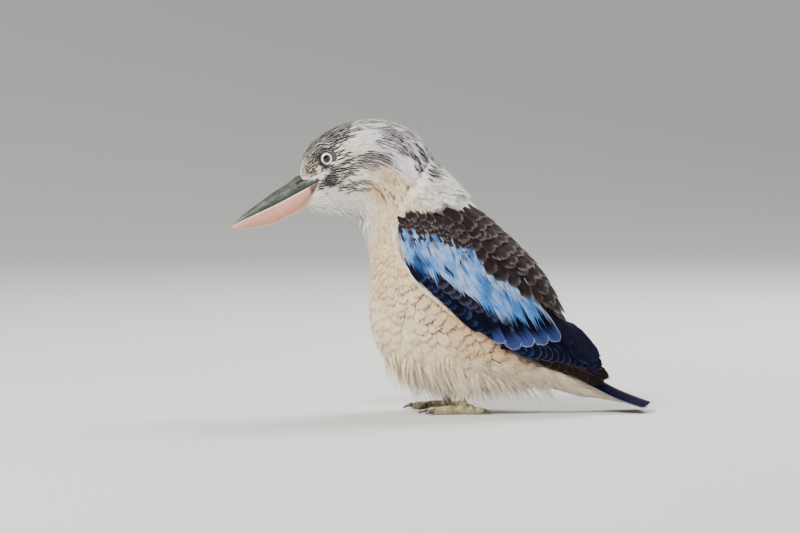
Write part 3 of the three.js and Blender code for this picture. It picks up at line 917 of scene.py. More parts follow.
# %% [markdown]
# ## Neck, breast and belly
#
# The coat gets longer and looser towards the belly. The wings hide most of the back and flanks, so
# roots far under them are left out.

# %% Body feathers
# Each row: a station, and the degrees from the middle of the back that the folded wing covers there.
WING_COVER = np.array([(6.12, 88, 100), (6.4, 70, 108), (7.0, 46, 112), (8.0, 25, 106), (9.0, 16, 98),
                       (10.0, 12, 88), (11.0, 9, 84), (12.0, 7.5, 90), (13.0, 8, 106), (13.7, 12, 106),
                       (14.3, 24, 88)])


def under_wing(along, round_, margin):
    """True where a root lies deeper under the folded wing than margin degrees."""
    angle = np.degrees(np.abs(round_))
    upper, lower = (np.interp(along, WING_COVER[:, 0], WING_COVER[:, k]) for k in (1, 2))
    return (along > 6.5) & (angle > upper + margin) & (angle < lower - margin)


def body_tract(name, start, stop, gap, seed, long, wide, rows, columns, rag, fluff,
               limit=lambda s, a, r: True):
    """A coat between two stations, with longer and looser feathers low down."""
    coat = Coat(name)
    roots = spread(start, stop, gap, seed, keep=lambda s, a, r: ~under_wing(a, r, 14) & limit(s, a, r))
    along, round_ = roots
    rng = np.random.default_rng(seed + 1)
    n = len(along)
    low_down = ramp(body(along, round_)[:, 2], 70, 30)
    length = long * rng.uniform(0.85, 1.15, n) * (1 + 0.35 * low_down)
    width = wide * rng.uniform(0.85, 1.15, n)
    turn = rng.normal(0, 0.09, n)
    depth = coat_depth(along)
    lay_small(coat, roots, length, width, turn, (start - 0.2, stop + 0.2), seed + 2, rows, columns,
              low=-depth * 0.42, high=0.1 + 0.6 * low_down, blunt=0.3,
              rag=rag * (0.6 + 0.6 * low_down), camber=0.15, fluff=fluff)
    return coat


def off_the_back(spots, along, round_):
    """True below the mantle and, further back, beside the rump and under the tail."""
    return np.abs(round_) > 0.9 + 0.8 * (along > 11.0) + 0.5 * (along > 12.8)


body_tract("neck_feathers", 4.9, 7.3, 2.7, 31, 13.0, 6.0, 4, 7, 0.35, 0.15).make(soft, "plumage")
breast = body_tract("breast_feathers", 7.0, 14.1, 5.6, 41, 22.0, 13.5, 6, 14, 0.28, 0.2, off_the_back)
breast.make(soft, "plumage")

# %% [markdown]
# ## The shape of the folded wing
#
# Wing feathers are firm, and each has its place, so they are laid one row at a time by where their
# tips end on the bird's side. A height map of the wing solid, seen from the side, tells how far out
# each point of a feather lies. It is carried on past the wing's rim, so that the feathers at the edge
# stand out level instead of bending inwards. Only over the shoulder does it follow the slope of the back.

# %% A height map of the wing
def photo(*pairs):
    """Places given in the picture's own pixels, as millimetres on the bird's side.

    The camera looks down by three degrees, so the wing, 40 mm nearer to it, shows 2 mm lower than it is.
    """
    return [((x - 440.5) * 0.8, (412.0 - y) * 0.8 + 2.0) for x, y in pairs]


def from_left(tree, y, z):
    """Where a ray from the bird's left side meets a solid, or None."""
    return tree.ray_cast(Vector((120.0, y, z)), Vector((-1.0, 0.0, 0.0)))[0]


# The line where the azure patch ends and the dark shoulder begins.
AZURE_TOP = np.array(photo((396, 214), (423, 218), (456, 229), (475, 240), (494, 262), (523, 279), (547, 302),
                           (556, 318), (566, 330)))
wing_tree = tree_of("wing_left")
shoulders = BVHTree.FromPolygons([Vector(p) for p in body(grid_along, grid_round, 0, True).reshape(-1, 3)],
                                 [list(q) for q in body_quads])
MAP_STEP = 1.5
map_y = np.arange(-60.0, 160.0, MAP_STEP)
map_z = np.arange(0.0, 190.0, MAP_STEP)
heights = np.full((len(map_y), len(map_z)), np.nan)
for iy, y in enumerate(map_y):
    for iz, z in enumerate(map_z):
        hit = from_left(wing_tree, y, z)
        if hit is not None:
            heights[iy, iz] = hit.x
known = ~np.isnan(heights)
# The solid's rounded rim is cut off, and the heights inside it are carried on past it.
inner = known.copy()
for _ in range(3):
    inner[1:-1, 1:-1] &= inner[2:, 1:-1] & inner[:-2, 1:-1] & inner[1:-1, 2:] & inner[1:-1, :-2]
heights = np.where(inner, heights, np.nan)
for _ in range(60):
    around = np.stack([np.roll(heights, s, ax) for ax in (0, 1) for s in (1, -1)])
    filled = np.nanmean(np.where(np.isnan(around).all(0), 0, around), axis=0)
    heights = np.where(np.isnan(heights) & ~np.isnan(around).all(0), filled, heights)
heights = np.where(np.isnan(heights), np.nanmean(heights), heights)
# Above the azure patch the map follows the shoulder instead.
for iy, y in enumerate(map_y):
    for iz in np.nonzero(map_z > np.interp(y, *AZURE_TOP.T) + 4)[0]:
        hit = from_left(shoulders, y, map_z[iz])
        heights[iy, iz] = min(heights[iy, iz], heights[iy, iz - 1] - 1.0 if hit is None else hit.x + 0.5)
# Twelve light blurs leave no step where the two meet.
for _ in range(12):
    pad = np.pad(heights, 1, mode="edge")
    heights = (pad[2:, 1:-1] + pad[:-2, 1:-1] + pad[1:-1, 2:] + pad[1:-1, :-2] + 4 * heights) / 8
print("wing map covers", int(known.sum()), "cells, from", round(float(heights.min()), 1), "to",
      round(float(heights.max()), 1), "mm out")


def wing_at(y, z):
    """How far out the wing lies at a place on the side, and its normal there, for the left wing."""
    def read(y, z):
        fy = np.clip((y - map_y[0]) / MAP_STEP, 0, len(map_y) - 1.001)
        fz = np.clip((z - map_z[0]) / MAP_STEP, 0, len(map_z) - 1.001)
        i, j = fy.astype(int), fz.astype(int)
        a, b = fy - i, fz - j
        below = heights[i, j] * (1 - a) + heights[i + 1, j] * a
        above = heights[i, j + 1] * (1 - a) + heights[i + 1, j + 1] * a
        return below * (1 - b) + above * b
    x = read(y, z)
    slope_y = (read(y + 2, z) - read(y - 2, z)) / 4
    slope_z = (read(y, z + 2) - read(y, z - 2)) / 4
    return x, unit(np.stack([np.ones_like(x), -slope_y, -slope_z], -1))


# %% [markdown]
# ## Rows of wing feathers
#
# A row is a line of tips, with a length, a width and a heading that change from its first feather to
# its last. The rows are stacked from the longest feathers, which lie lowest, to the shortest at the
# shoulder, and each row hides the roots of the one below it.

# %% Laying a row
def side_line(points, n):
    """n places spread evenly along a line of corners on the bird's side."""
    points = np.array(points, float)
    far = np.concatenate([[0], np.cumsum(np.linalg.norm(np.diff(points, axis=0), axis=1))])
    at = np.linspace(0, far[-1], n)
    return np.stack([np.interp(at, far, points[:, k]) for k in range(2)], 1)


# The wing solid reaches out to the tips of its topmost feathers, this far above the lowest ones.
STACK = 3.6


def wing_row(coat, sign, tips, n, heading, length, width, level, look, seed, rows=5, columns=8, bend=0.0,
             steps=9, scatter=(0.8, 0.05), **shape):
    """A row of n feathers that end along the line of tips.

    heading is in degrees below level, towards the tail, and pairs give the first and the last
    feather's value. level says how far the roots and the tips lie above the bottom of the stack.
    """
    rng = np.random.default_rng(seed)
    tip = side_line(tips, n) + rng.normal(0, scatter[0], (n, 2))
    share = np.linspace(0, 1, n)
    pair = lambda q: q[0] + (q[1] - q[0]) * share
    turn = np.radians(pair(heading)) + rng.normal(0, scatter[1], n)
    long = pair(length) * rng.uniform(0.94, 1.06, n)
    ahead = np.stack([np.cos(turn), -np.sin(turn)], 1)
    aside = np.stack([np.sin(turn), np.cos(turn)], 1)
    s = np.linspace(0, 1, steps)[None, :, None]
    flat = tip[:, None] - ahead[:, None] * long[:, None, None] * (1 - s)
    flat = flat + aside[:, None] * (bend * long[:, None, None] * 4 * s * (1 - s))
    x, normal = wing_at(flat[..., 0], flat[..., 1])
    path = np.stack([x, flat[..., 0], flat[..., 1]], -1)
    path, normal = path * [sign, 1, 1], normal * [sign, 1, 1]
    where = np.stack([(tip[:, 0] + 60) / 220, tip[:, 1] / 190 * 0.48 + (0.01 if sign > 0 else 0.51)], 1)
    wide = pair(width) * rng.uniform(0.95, 1.05, n)
    coat.lay(path, normal, wide, rows, columns, look(n, tip, rng), where, rng,
             low=level[0] - STACK, high=level[1] - STACK, **shape)


def plain(tint, rim, streak=0.0, rim_share=0.0, fade=0.0, vary=0.12):
    """One look for a whole row, a little lighter or darker from feather to feather."""
    def look(n, tip, rng):
        shade = (1 + rng.uniform(-vary, vary, n))[:, None]
        return look_of(tint * shade, rim * shade, streak, rim_share * rng.uniform(0.6, 1, n),
                       fade * rng.uniform(0.7, 1, n))
    return look


def azure(n, tip, rng):
    """Light blue, some paler, some deeper, with grey-brown hearts that show at the roots."""
    pale = noise(tip[:, 0] / 9, tip[:, 1] / 9, 71) * 0.6 + rng.random(n) * 0.4
    rim = blend(blend(AZURE, rgb("#2a6cba"), ramp(pale, 0.36, 0.18)), rgb("#b0caf4"), ramp(pale, 0.42, 0.7))
    front = spot(tip[:, 0], tip[:, 1], (-14, 113), (9, 7))
    rim = blend(rim, rgb("#0f4c92"), front)
    tint = blend(rgb("#2f2d3c"), rim, (0.1 + 0.5 * rng.random(n)) * (1 - front))
    return look_of(tint, rim, rim_share=0.35, fade=rng.uniform(0.65, 1.0, n))


edge_of_azure = np.linalg.norm(np.diff(AZURE_TOP, axis=0), axis=1).sum()
print("the azure patch is", round(float(edge_of_azure)), "mm long")

# %% [markdown]
# The flight feathers lie at the bottom of the stack. The primaries are the long ones that end the
# wing, the secondaries lie beside them, and three tertials cover both when the wing is folded.

# %% Flight feathers
def lay_flight_feathers(lay, seed):
    primaries = photo((552, 366), (576, 376), (592, 381), (602, 386), (606, 384), (609, 380))
    lay(primaries, 9, (27, 22), (58, 88), (10, 9), (0.2, 0.9),
        plain(rgb("#1d1715"), rgb("#5d504a"), rim_share=0.35), seed + 1, rows=12, bend=0.045,
        scatter=(0.3, 0.01), blunt=0.1, rag=0.02, camber=0.1, fluff=0.02)
    secondaries = photo((540, 357), (553, 358), (566, 361), (580, 367), (590, 369), (601, 371))
    lay(secondaries, 11, (36, 47), (60, 70), (14, 11), (0.8, 1.6),
        plain(NIGHT, rgb("#7d7a8c"), rim_share=0.2), seed + 2, rows=8, bend=0.02,
        scatter=(0.5, 0.015), blunt=0.14, rag=0.02, camber=0.12, fluff=0.03)
    tertials = photo((572, 343), (586, 352), (598, 362))
    lay(tertials, 3, (44, 48), (50, 58), (14, 13), (1.6, 2.1),
        plain(rgb("#151525"), rgb("#3c3b4a"), rim_share=0.3), seed + 3, rows=8,
        scatter=(0.4, 0.01), blunt=0.16, rag=0.02, camber=0.14, fluff=0.03)


print("the wing ends", round(photo((609, 380))[0][0], 1), "mm behind the middle of the bird")

# %% [markdown]
# Coverts are the short feathers that cover the roots of the long ones. Those along the lower edge are
# dark. The greater coverts behind the azure patch are broad and blue, and each is laid over a paler
# one that is a little larger, which shows as its rim.

# %% Coverts of the flight feathers
def lay_lower_coverts(lay, seed):
    edge = photo((424, 281), (436, 292), (452, 306), (472, 321), (494, 335), (514, 346), (534, 357))
    lay(edge, 17, (54, 34), (26, 40), (10, 12), (1.6, 2.2),
        plain(rgb("#0b0d1c"), rgb("#222c50"), rim_share=0.25, fade=0.2, vary=0.35), seed + 4, rows=6,
        scatter=(0.8, 0.04), blunt=0.2, rag=0.04, camber=0.15, fluff=0.05)
    above_edge = photo((424, 270), (446, 288), (472, 304), (498, 320), (512, 332))
    lay(above_edge, 13, (58, 48), (24, 32), (11, 14), (2.0, 2.6),
        plain(rgb("#151012"), rgb("#34354e"), rim_share=0.15, fade=0.3, vary=0.3), seed + 5, rows=6,
        scatter=(0.8, 0.04), blunt=0.22, rag=0.05, camber=0.15, fluff=0.05)


def lay_greater_coverts(lay, seed):
    pale = 0.0, 1.1, 0.0, plain(rgb("#8f96b4"), rgb("#a9adc2"))
    blue = -0.6, 0.0, 0.1, plain(rgb("#080a18"), rgb("#3a4880"), fade=0.6, vary=0.12)
    for k, (x, y) in enumerate(((503, 342), (517, 348), (531, 345), (546, 343.5), (559, 341))):
        for shift, wider, above, look in (pale, blue):
            level = 2.1 + 0.22 * k + above
            lay(photo((x + shift, y + shift), (x + shift + 0.1, y + shift)), 1, (58 - k, 55), (40, 44),
                (14.5 + wider, 13.5), (level, level + 0.5), look, seed + 60 + k, rows=7, columns=10,
                scatter=(0.1, 0.01), blunt=0.2, rag=0.02, camber=0.22, fluff=0.03)


print("the lower coverts start", round(photo((424, 281))[0][1], 1), "mm above the floor")

# %% [markdown]
# The azure coverts are narrow, with ragged ends that scatter widely, so that their rows melt into one
# patch. From the lowest row to the highest they get shorter and steeper.

# %% Azure coverts
AZURE_ROWS = (
    (((411, 262), (429, 277), (443, 276), (454, 284), (469, 291), (490, 309), (504, 322), (520, 322),
      (535, 328), (548, 320)), 36, (66, 58), (19, 27), (5.2, 6.2), (2.8, 3.4)),
    (((407, 255), (428, 266), (450, 272), (468, 281), (490, 300), (512, 315), (530, 318), (542, 312)), 34,
     (68, 58), (17, 25), (5.0, 6.0), (3.2, 3.8)),
    (((405, 247), (424, 255), (446, 261), (468, 270), (486, 287), (508, 303), (526, 306), (533, 303)), 31,
     (70, 58), (15, 23), (4.8, 5.8), (3.5, 4.1)),
    (((406, 240), (426, 246), (448, 251), (468, 259), (484, 272), (500, 288), (516, 294)), 25, (72, 60),
     (13, 20), (4.6, 5.6), (3.8, 4.3)),
)


def lay_azure_coverts(lay, seed):
    for k, (tips, n, *sizes) in enumerate(AZURE_ROWS):
        lay(photo(*tips), n, *sizes, azure, seed + 10 + k, rows=5, columns=7,
            scatter=(2.0, 0.12), blunt=0.2, rag=0.5, camber=0.25, fluff=0.25, narrow=0.5)


print("azure coverts on each wing:", sum(n for _, n, *_ in AZURE_ROWS))

# %% [markdown]
# Small dark coverts with pale rims cover the bend of the wing. Behind them the scapulars, which grow
# on the shoulder itself, hang over the top of the azure patch in a long loose line. The wing's front
# edge is trimmed with the breast's colour, because the breast feathers close over it.

# %% The shoulder and the leading edge
SHOULDER_ROWS = (
    (((405, 243), (416, 242), (432, 242), (452, 247), (466, 254)), 15, (76, 60)),
    (((405, 237), (416, 237), (434, 238), (452, 242), (470, 250)), 15, (72, 58)),
    (((405, 231), (415, 231), (432, 233), (452, 237), (470, 245)), 15, (66, 54)),
    (((405, 226), (415, 226), (432, 228), (452, 232), (470, 240)), 15, (60, 50)),
    (((407, 221), (416, 222), (434, 224), (454, 228), (466, 233)), 14, (56, 48)),
)
SCAPULAR_ROWS = (
    (((447, 228), (461, 236), (473, 243), (483, 254), (491, 269), (506, 282), (515, 287), (529, 299),
      (541, 305), (550, 313)), 11, (40, 63), (15, 33), (12.5, 16), (3.4, 4.8)),
    (((462, 226), (470, 229), (482, 237), (492, 249), (502, 263), (516, 273), (528, 282), (541, 293),
      (553, 307)), 10, (42, 63), (17, 26), (12.5, 15), (3.4, 4.8)),
    (((556, 313), (561, 318), (566, 325)), 3, (60, 62), (30, 33), (11, 10), (2.2, 4.0)),
)


def lay_shoulder(lay, seed):
    dark = plain(rgb("#231d1c"), rgb("#837a76"), streak=0.3, rim_share=0.75, fade=0.25, vary=0.4)
    for k, (tips, n, heading) in enumerate(SHOULDER_ROWS):
        level = 3.6 + 0.2 * k, 4.2 + 0.2 * k
        lay(photo(*tips), n, heading, (9, 11), (5.5, 6.5), level, dark, seed + 30 + k, rows=4, columns=7,
            scatter=(1.2, 0.14), blunt=0.35, rag=0.22, camber=0.25, fluff=0.15, steps=5)


def lay_scapulars(lay, seed):
    brown = plain(rgb("#221b19"), rgb("#5f5553"), streak=0.3, rim_share=0.3, fade=0.35, vary=0.3)
    for k, (tips, n, *sizes) in enumerate(SCAPULAR_ROWS):
        lay(photo(*tips), n, *sizes, brown, seed + 50 + k, rows=6, columns=10, scatter=(1.1, 0.05),
            blunt=0.3, rag=0.08, camber=0.18, fluff=0.1, narrow=0.5)


def lay_leading_edge(lay, seed):
    edge = photo((397, 236), (395, 244), (398, 256), (404, 268), (413, 280), (425, 293), (441, 306),
                 (455, 317))
    lay(edge, 34, (80, 42), (9, 11), (2.1, 0.5), (2.6, 3.0), plain(rgb("#e2d8c6"), rgb("#cfc4b2"), vary=0.08),
        seed + 40, rows=4, columns=4, scatter=(0.3, 0.05), blunt=0.5, rag=0.15, camber=0.3, fluff=0.06,
        steps=5)


print("scapulars on each wing:", sum(n for _, n, *_ in SCAPULAR_ROWS))

# %% Both wings, from the bottom of the stack to its top
WING_SEEDS = {"left": 500, "right": 900}

for sign, side in SIDES:
    coat = Coat(f"wing_feathers_{side}")
    for group in (lay_flight_feathers, lay_lower_coverts, lay_greater_coverts, lay_azure_coverts,
                  lay_shoulder, lay_scapulars, lay_leading_edge):
        group(lambda *row, **shape: wing_row(coat, sign, *row, **shape), WING_SEEDS[side])
    coat.make(firm, "wing_feathers", f"wing_{side}")

# %% [markdown]
# ## The dark mantle
#
# The feathers of the upper back lie in regular rows like roof tiles, each half a feather aside from
# the row before. They run over the shoulders and on to the wings, and grow larger towards the tail.
# The last rows are dark blue, and go on only beside the rump, where they close the gap to the wings.

# %% Roots of the mantle
# The line where the white collar ends on the bird's side.
COLLAR = np.array(photo((396, 217), (408, 214), (420, 215), (434, 214), (452, 208), (464, 202), (474, 200)))


MANTLE_START, MANTLE_STOP, RUMP_START = 6.95, 12.8, 10.9


def mantle_roots(rng):
    """Staggered rows over the back: how far along and round each root is, and how grown, from 0 to 1."""
    rows = []
    degrees = np.arange(0, 91.0)
    along = MANTLE_START
    stagger = itertools.cycle((0.0, 0.5))
    while along < MANTLE_STOP:
        grow = min(1.0, (along - MANTLE_START) / 4.0)
        section = body(np.full(91, along), np.radians(degrees), 0, True)
        arc = np.concatenate([[0], np.cumsum(np.linalg.norm(np.diff(section, axis=0), axis=1))])
        spacing = 8.5 + 5.0 * grow
        places = np.arange(spacing * next(stagger), arc[-1], spacing)
        for a in np.radians(np.interp(places, arc, degrees)):
            for sign in ((1, -1) if a > 1e-6 else (1,)):
                rows.append((along + rng.normal(0, 0.03), sign * (a + rng.normal(0, 0.02)), grow))
        step = body(np.array([along, along + 0.1]), np.array([0.6, 0.6]), 0, True)
        along += 0.1 * (7.0 + 6.0 * grow) / np.linalg.norm(step[1] - step[0])
    return (np.array(column) for column in zip(*rows))


rng = np.random.default_rng(61)
along, round_, grow = mantle_roots(rng)
print("mantle roots:", len(along))

# %% Mantle feathers
n = len(along)
length = (17 + 15 * grow) * rng.uniform(0.92, 1.08, n)
width = (12.5 + 6.0 * grow) * rng.uniform(0.93, 1.07, n)
turned = np.abs(round_)
turn = rng.normal(0, 0.05, n) - 0.10 * np.sign(round_) * ramp(turned, 0.1, 0.9)
path, normal = walk(along, round_, length, turn, True, 7)
root, tip = path[:, 0], path[:, -1]
by_rump = along > RUMP_START
above_azure = tip[:, 2] > np.interp(tip[:, 1], *AZURE_TOP.T) + 3
on_back = above_azure & (turned < 1.45) & (tip[:, 2] > 60) & ~by_rump
beside_rump = by_rump & (turned > 0.2) & (turned < 0.62) & (tip[:, 2] > 30) & (tip[:, 1] < 130)
ok = (on_back | beside_rump) & (root[:, 2] < np.interp(root[:, 1], *COLLAR.T) - 2)
luck = rng.random(n)
tint = blend(blend(rgb("#1f1917"), rgb("#332a27"), luck), NIGHT, 1.0 * by_rump)
rim = blend(blend(rgb("#63584f"), rgb("#7d747c"), grow), rgb("#22284c"), 1.0 * by_rump)
look = look_of(tint, rim, 0.4 * luck, 0.22 + 0.2 * luck, 0.2 + 0.2 * grow)
mantle = Coat("mantle_feathers")
mantle.lay(path[ok], normal[ok], width[ok], 6, 10, only(look, ok),
           bake_place(along, round_, 6.5, 12.0)[ok], rng,
           low=-1.6, high=0.9, blunt=0.3, rag=0.08, camber=0.2, fluff=0.08, narrow=0.45)
mantle.make(firm, "wing_feathers")

# %% [markdown]
# ## The white collar
#
# A white collar closes the hind neck. Its feathers are laid last and stand a little proud, because
# they cover the roots of the first dark rows, and their ends waver along the collar's line.

# %% Collar feathers
along, round_ = spread(5.7, 7.5, 2.3, 65, True, keep=lambda s, a, r: np.abs(r) < 2.0)
rng = np.random.default_rng(66)
path, normal = walk(along, round_, rng.uniform(9, 13, len(along)), rng.normal(0, 0.12, len(along)), True)
edge = np.interp(path[:, -1, 1], *COLLAR.T) + rng.normal(0, 1.2, len(along))
ok = (path[:, -1, 2] > edge) & (path[:, -1, 1] > -34)
look = only(markings(path[:, 1], along, round_, 67), ok)
collar = Coat("collar_feathers")
collar.lay(path[ok], normal[ok], rng.uniform(4.5, 6.5, ok.sum()), 4, 7, look,
           bake_place(along, round_, 5.6, 7.6)[ok], rng,
           low=-1.8, high=3.0, blunt=0.35, rag=0.4, camber=0.3, fluff=0.2, narrow=0.5)
collar.make(soft, "plumage")

# %% [markdown]
# ## The tail
#
# Twelve long feathers make the tail: the middle pair lies on top, and each next pair lies under it,
# a little further out and a little shorter. They are so stiff that each gets a real thickness.

# %% Tail feathers
# The tail's middle line on the bird's side.
TAIL_LINE = np.array([(96.0, 34.0), (118.6, 25.4), (130.0, 19.4), (142.0, 13.9), (155.0, 9.6), (163.5, 7.1),
                      (168.0, 5.8)])
far = side_line(TAIL_LINE, 101)
at = np.linspace(0, 1, 12)
rng = np.random.default_rng(81)
order, signs = (q.reshape(-1) for q in np.meshgrid(np.arange(6), (1, -1), indexing="ij"))
paths = []
for pair, sign in zip(order, signs):
    root_x, tip_x = sign * (1.2 + 1.5 * pair), sign * (3.8 + 2.55 * pair)
    row = far[(at * 100 * (1 - 0.008 * pair)).astype(int)]
    level, droop = 6.5 - 1.5 * pair, 0.14 * pair**1.6
    z = row[:, 1] + 1.2 + level * (0.12 + 0.88 * (1 - at)) - droop * at
    paths.append(np.stack([root_x + (tip_x - root_x) * at, row[:, 0], z], 1))
path = np.stack(paths)
slope = unit(np.gradient(path, axis=1))
normal = unit(np.cross(np.broadcast_to([1.0, 0, 0], slope.shape), slope))
tilt = 0.05 * signs * (order + 0.4)
normal = unit(normal + np.stack([tilt, 0 * tilt, 0 * tilt], 1)[:, None])
tail_look = look_of(blend(rgb("#060718"), rgb("#0b0e2e"), rng.random(12)), rgb("#bdbac2"),
                    rim_share=np.where(order >= 5, 0.7, 0.0))
tail_coat = Coat("tail_vanes")
tail_coat.lay(path, normal, np.where(order > 3, 14.0, 15.5), 16, 10, tail_look,
              np.stack([0.1 + 0.07 * np.arange(12), np.full(12, 0.5)], 1), rng, blunt=0.06, rag=0.015,
              low=0.0, high=0.0, camber=0.1, fluff=0.02, narrow=0.5, taper=0.05, patch=0.05)
tail_piece = tail_coat.make(blue_black, "tail_feathers", "tail")
thick = tail_piece.modifiers.new("thickness", "SOLIDIFY")
thick.thickness, thick.offset = 0.35 * MM, -1.0

# %% [markdown]
# ## Rump, and the feathers under the tail
#
# The rump shows only from behind, between the wings, and is as azure as the patch on the wing. Under
# the tail, pale soft feathers run back from the belly and thin out where the stiff ones take over.
# No solid has their shape, so they are laid on an oval tube that narrows towards the tail.

# %% Rump feathers
def between_wings(spots, along, round_):
    """True on the rump, which narrows towards the tail, and not far under the wings."""
    reach = np.interp(along, [10, 11, 12, 13.1], [1.0, 0.7, 0.45, 0.35])
    return (np.abs(round_) < reach) & ~under_wing(along, round_, 22)


rump = Coat("rump_feathers")
along, round_ = spread(10.0, 13.1, 3.7, 85, keep=between_wings)
rng = np.random.default_rng(86)
n = len(along)
path, normal = walk(along, round_, rng.uniform(17, 22, n), rng.normal(0, 0.06, n))
rump_rim = blend(rgb("#86b8e2"), rgb("#5a9bd4"), rng.random(n))
look = look_of(blend(rgb("#5c6a7c"), rump_rim, np.full(n, 0.5)), rump_rim, rim_share=0.4, fade=1.0)
rump.lay(path, normal, rng.uniform(9, 12, n), 5, 9, look, bake_place(along, round_, 10.0, 14.2), rng,
         low=-2.2, high=0.8, blunt=0.3, rag=0.25, camber=0.2, fluff=0.2)
rump.make(soft, "wing_feathers")

# %% Feathers under the tail
# Each row: how far back, the height of the middle, and the half height and half width round it.
UNDER_TAIL = np.array([(96, 28.5, 12.5, 19), (104, 26, 12.2, 16.5), (112, 23, 10.6, 14.5),
                       (120, 20, 8.6, 12.6), (128, 17, 6.4, 11), (136, 13.8, 4.4, 10),
                       (146, 10.2, 2.8, 9.2), (156, 7.4, 1.7, 8.6)])
under = Coat("undertail_feathers")
n = 64
round_ = rng.uniform(-1.8, 1.8, n)
start = rng.uniform(97, 120, n)
stop = np.minimum(start + rng.uniform(26, 36, n), 153 - 6 * np.abs(round_))
far = start[:, None] + (stop - start)[:, None] * np.linspace(0, 1, 7)[None]
middle, tall, wide = (np.interp(far, UNDER_TAIL[:, 0], UNDER_TAIL[:, k]) for k in (1, 2, 3))
sine, cosine = np.sin(round_)[:, None], np.cos(round_)[:, None]
path = np.stack([sine * wide, far, middle - cosine * tall], -1)
normal = unit(np.stack([sine / wide, 0 * far, -cosine / tall], -1))
look = look_of(blend(rgb("#ecdcc2"), rgb("#dfc39c"), rng.random(n)), BUFF)
under.lay(path, normal, rng.uniform(7, 9, n), 5, 9, look, np.stack([start / 200, 0.3 + round_ / 12], 1), rng,
          low=-1.4, high=0.5, blunt=0.35, rag=0.35, camber=0.2, fluff=0.2, taper=0.35)
under.make(soft, "plumage")

# %% [markdown]
# ## The loose skirt of the belly
#
# The belly's feathers have no hooks to hold their barbs together, so they hang in white wisps over
# the legs. They are split deeply at the end, and clump and part, so that the skirt's hem wavers.

# %% Wisps of the belly
def hang(coat, start, stop, gap, seed, keep, long, down, wide, rag, pale):
    """Wisps that start along the body and then hang clear of it."""
    along, round_ = spread(start, stop, gap, seed, keep=keep)
    rng = np.random.default_rng(seed + 1)
    n = len(along)
    root = body(along, round_)
    a, _, out = tangents(along, round_)
    clump = noise(root[:, 1] / 7 + 20, round_ * 5 + 20, seed) - 0.5
    lie = unit(unit(a) + np.array([0, 0, -1.0]) * rng.uniform(*down, n)[:, None] + rng.normal(0, 0.14, (n, 3))
               + np.array([0, 1.3, 0]) * clump[:, None])
    lie = unit(lie - out * np.minimum(0, (lie * out).sum(1) + 0.08)[:, None])
    length = rng.uniform(*long, n) * np.minimum(1, np.maximum(root[:, 2] - 7, 3) / 16)
    s = np.linspace(0, 1, 6)[None, :, None]
    path = root[:, None] + out[:, None] * 0.2 + lie[:, None] * length[:, None, None] * s
    path[..., 2] -= 2.0 * s[..., 0] ** 2
    path[..., 2] = np.maximum(path[..., 2], 6.5)
    look = markings(root, along, round_, seed + 2)
    # The lower a wisp grows, the whiter it is painted: partly the belly's own cream-white, partly painted
    # light that stands in for the light thrown up under the belly.
    whiter = pale * ramp(root[:, 2], 50, 22) * rng.uniform(0.5, 1.0, n)
    look["tint"] = blend(look["tint"], rgb("#f3e8d8"), whiter)
    look["mark"] = look["mark"] * np.array([0.0, 0.3, 0.0])
    coat.lay(path, np.broadcast_to(out[:, None], path.shape), rng.uniform(*wide, n), 5, 9, look,
             bake_place(along, round_, 6.0, 13.5), rng, low=-1.6, high=0.8, blunt=0.45, rag=rag, camber=0.25,
             fluff=0.6, taper=0.55)


def wander(spots, round_):
    """How much higher or lower the skirt starts from place to place, in mm."""
    return 16 * (noise(spots[:, 1] / 8, round_ * 6 + 30, 97) - 0.5)


def low_belly(spots, along, round_):
    return (np.abs(round_) > 1.9) & (spots[:, 2] < 44 + wander(spots, round_))


def fore_belly(spots, along, round_):
    return (np.abs(round_) > 1.95) & (spots[:, 2] > 24) & (spots[:, 2] < 48 + wander(spots, round_))


skirt = Coat("belly_wisps")
hang(skirt, 9.0, 12.9, 2.9, 91, low_belly, (11, 22), (0.1, 0.9), (2.2, 5), 0.75, 0.8)
hang(skirt, 7.6, 11.6, 3.6, 95, fore_belly, (12, 23), (0.5, 1.6), (3, 6), 0.7, 0.5)
print("wisps on the belly:", skirt.feathers)

# %% Wisps of the thighs
# Each foot: its side, the sign of its X, and where its toes meet.
FEET = (("left", 1, 24.0, 18.5), ("right", -1, 24.0, 6.5))
# The thigh's solid narrows from a bulb to the shank: its top, its height, and its radius at both ends.
THIGH_TOP, THIGH_TALL, BULB, ANKLE = 34.0, 19.2, 14.0, 5.4
THIGH_WISPS = 260
for side, sign, foot_x, foot_y in FEET:
    n = THIGH_WISPS
    turn_round = rng.uniform(0, 2 * math.pi, n)
    start = rng.uniform(16, 31, n)
    fall = np.linspace(0, 1, 5)[None, :]
    long = rng.uniform(6, 10, n)
    z = np.maximum(start[:, None] - long[:, None] * fall, 9.5 + rng.uniform(0, 3, n)[:, None])
    t = np.clip((THIGH_TOP - z) / THIGH_TALL, 0, 1)
    radius = ANKLE + (BULB - ANKLE) * (1 - t) ** 0.8 + 0.6
    centre_y = foot_y - 2.2 + 3.5 * (1 - t)
    out = np.stack([np.cos(turn_round), np.sin(turn_round)], 1)
    path = np.stack([sign * foot_x + out[:, :1] * radius, centre_y + out[:, 1:] * radius, z], -1)
    normal = np.broadcast_to(np.concatenate([out, np.full((n, 1), 0.25)], 1)[:, None], path.shape)
    look = look_of(blend(WHITE, CREAM, rng.random(n)), BUFF)
    strip = 0.02 if sign > 0 else 0.14
    where = np.stack([turn_round / (2 * math.pi) * 0.96 + 0.02, (start - 16) / 15 * 0.1 + strip], 1)
    skirt.lay(path, unit(normal), rng.uniform(2.5, 4, n), 3, 5, look, where, rng, low=-0.8, high=0.4,
              blunt=0.4, rag=0.6, camber=0.3, fluff=0.3)
skirt.make(soft, "plumage")

# %% [markdown]
# ## The bill
#
# The bill is horn over bone: a long, deep pair of blades that meet along the mouth. Each is a loft
# along the same stations as its solid, with many more rows, a ridge along the top and a slit for the
# nostril. Each point keeps its place along and round the blade, and the paint follows that.

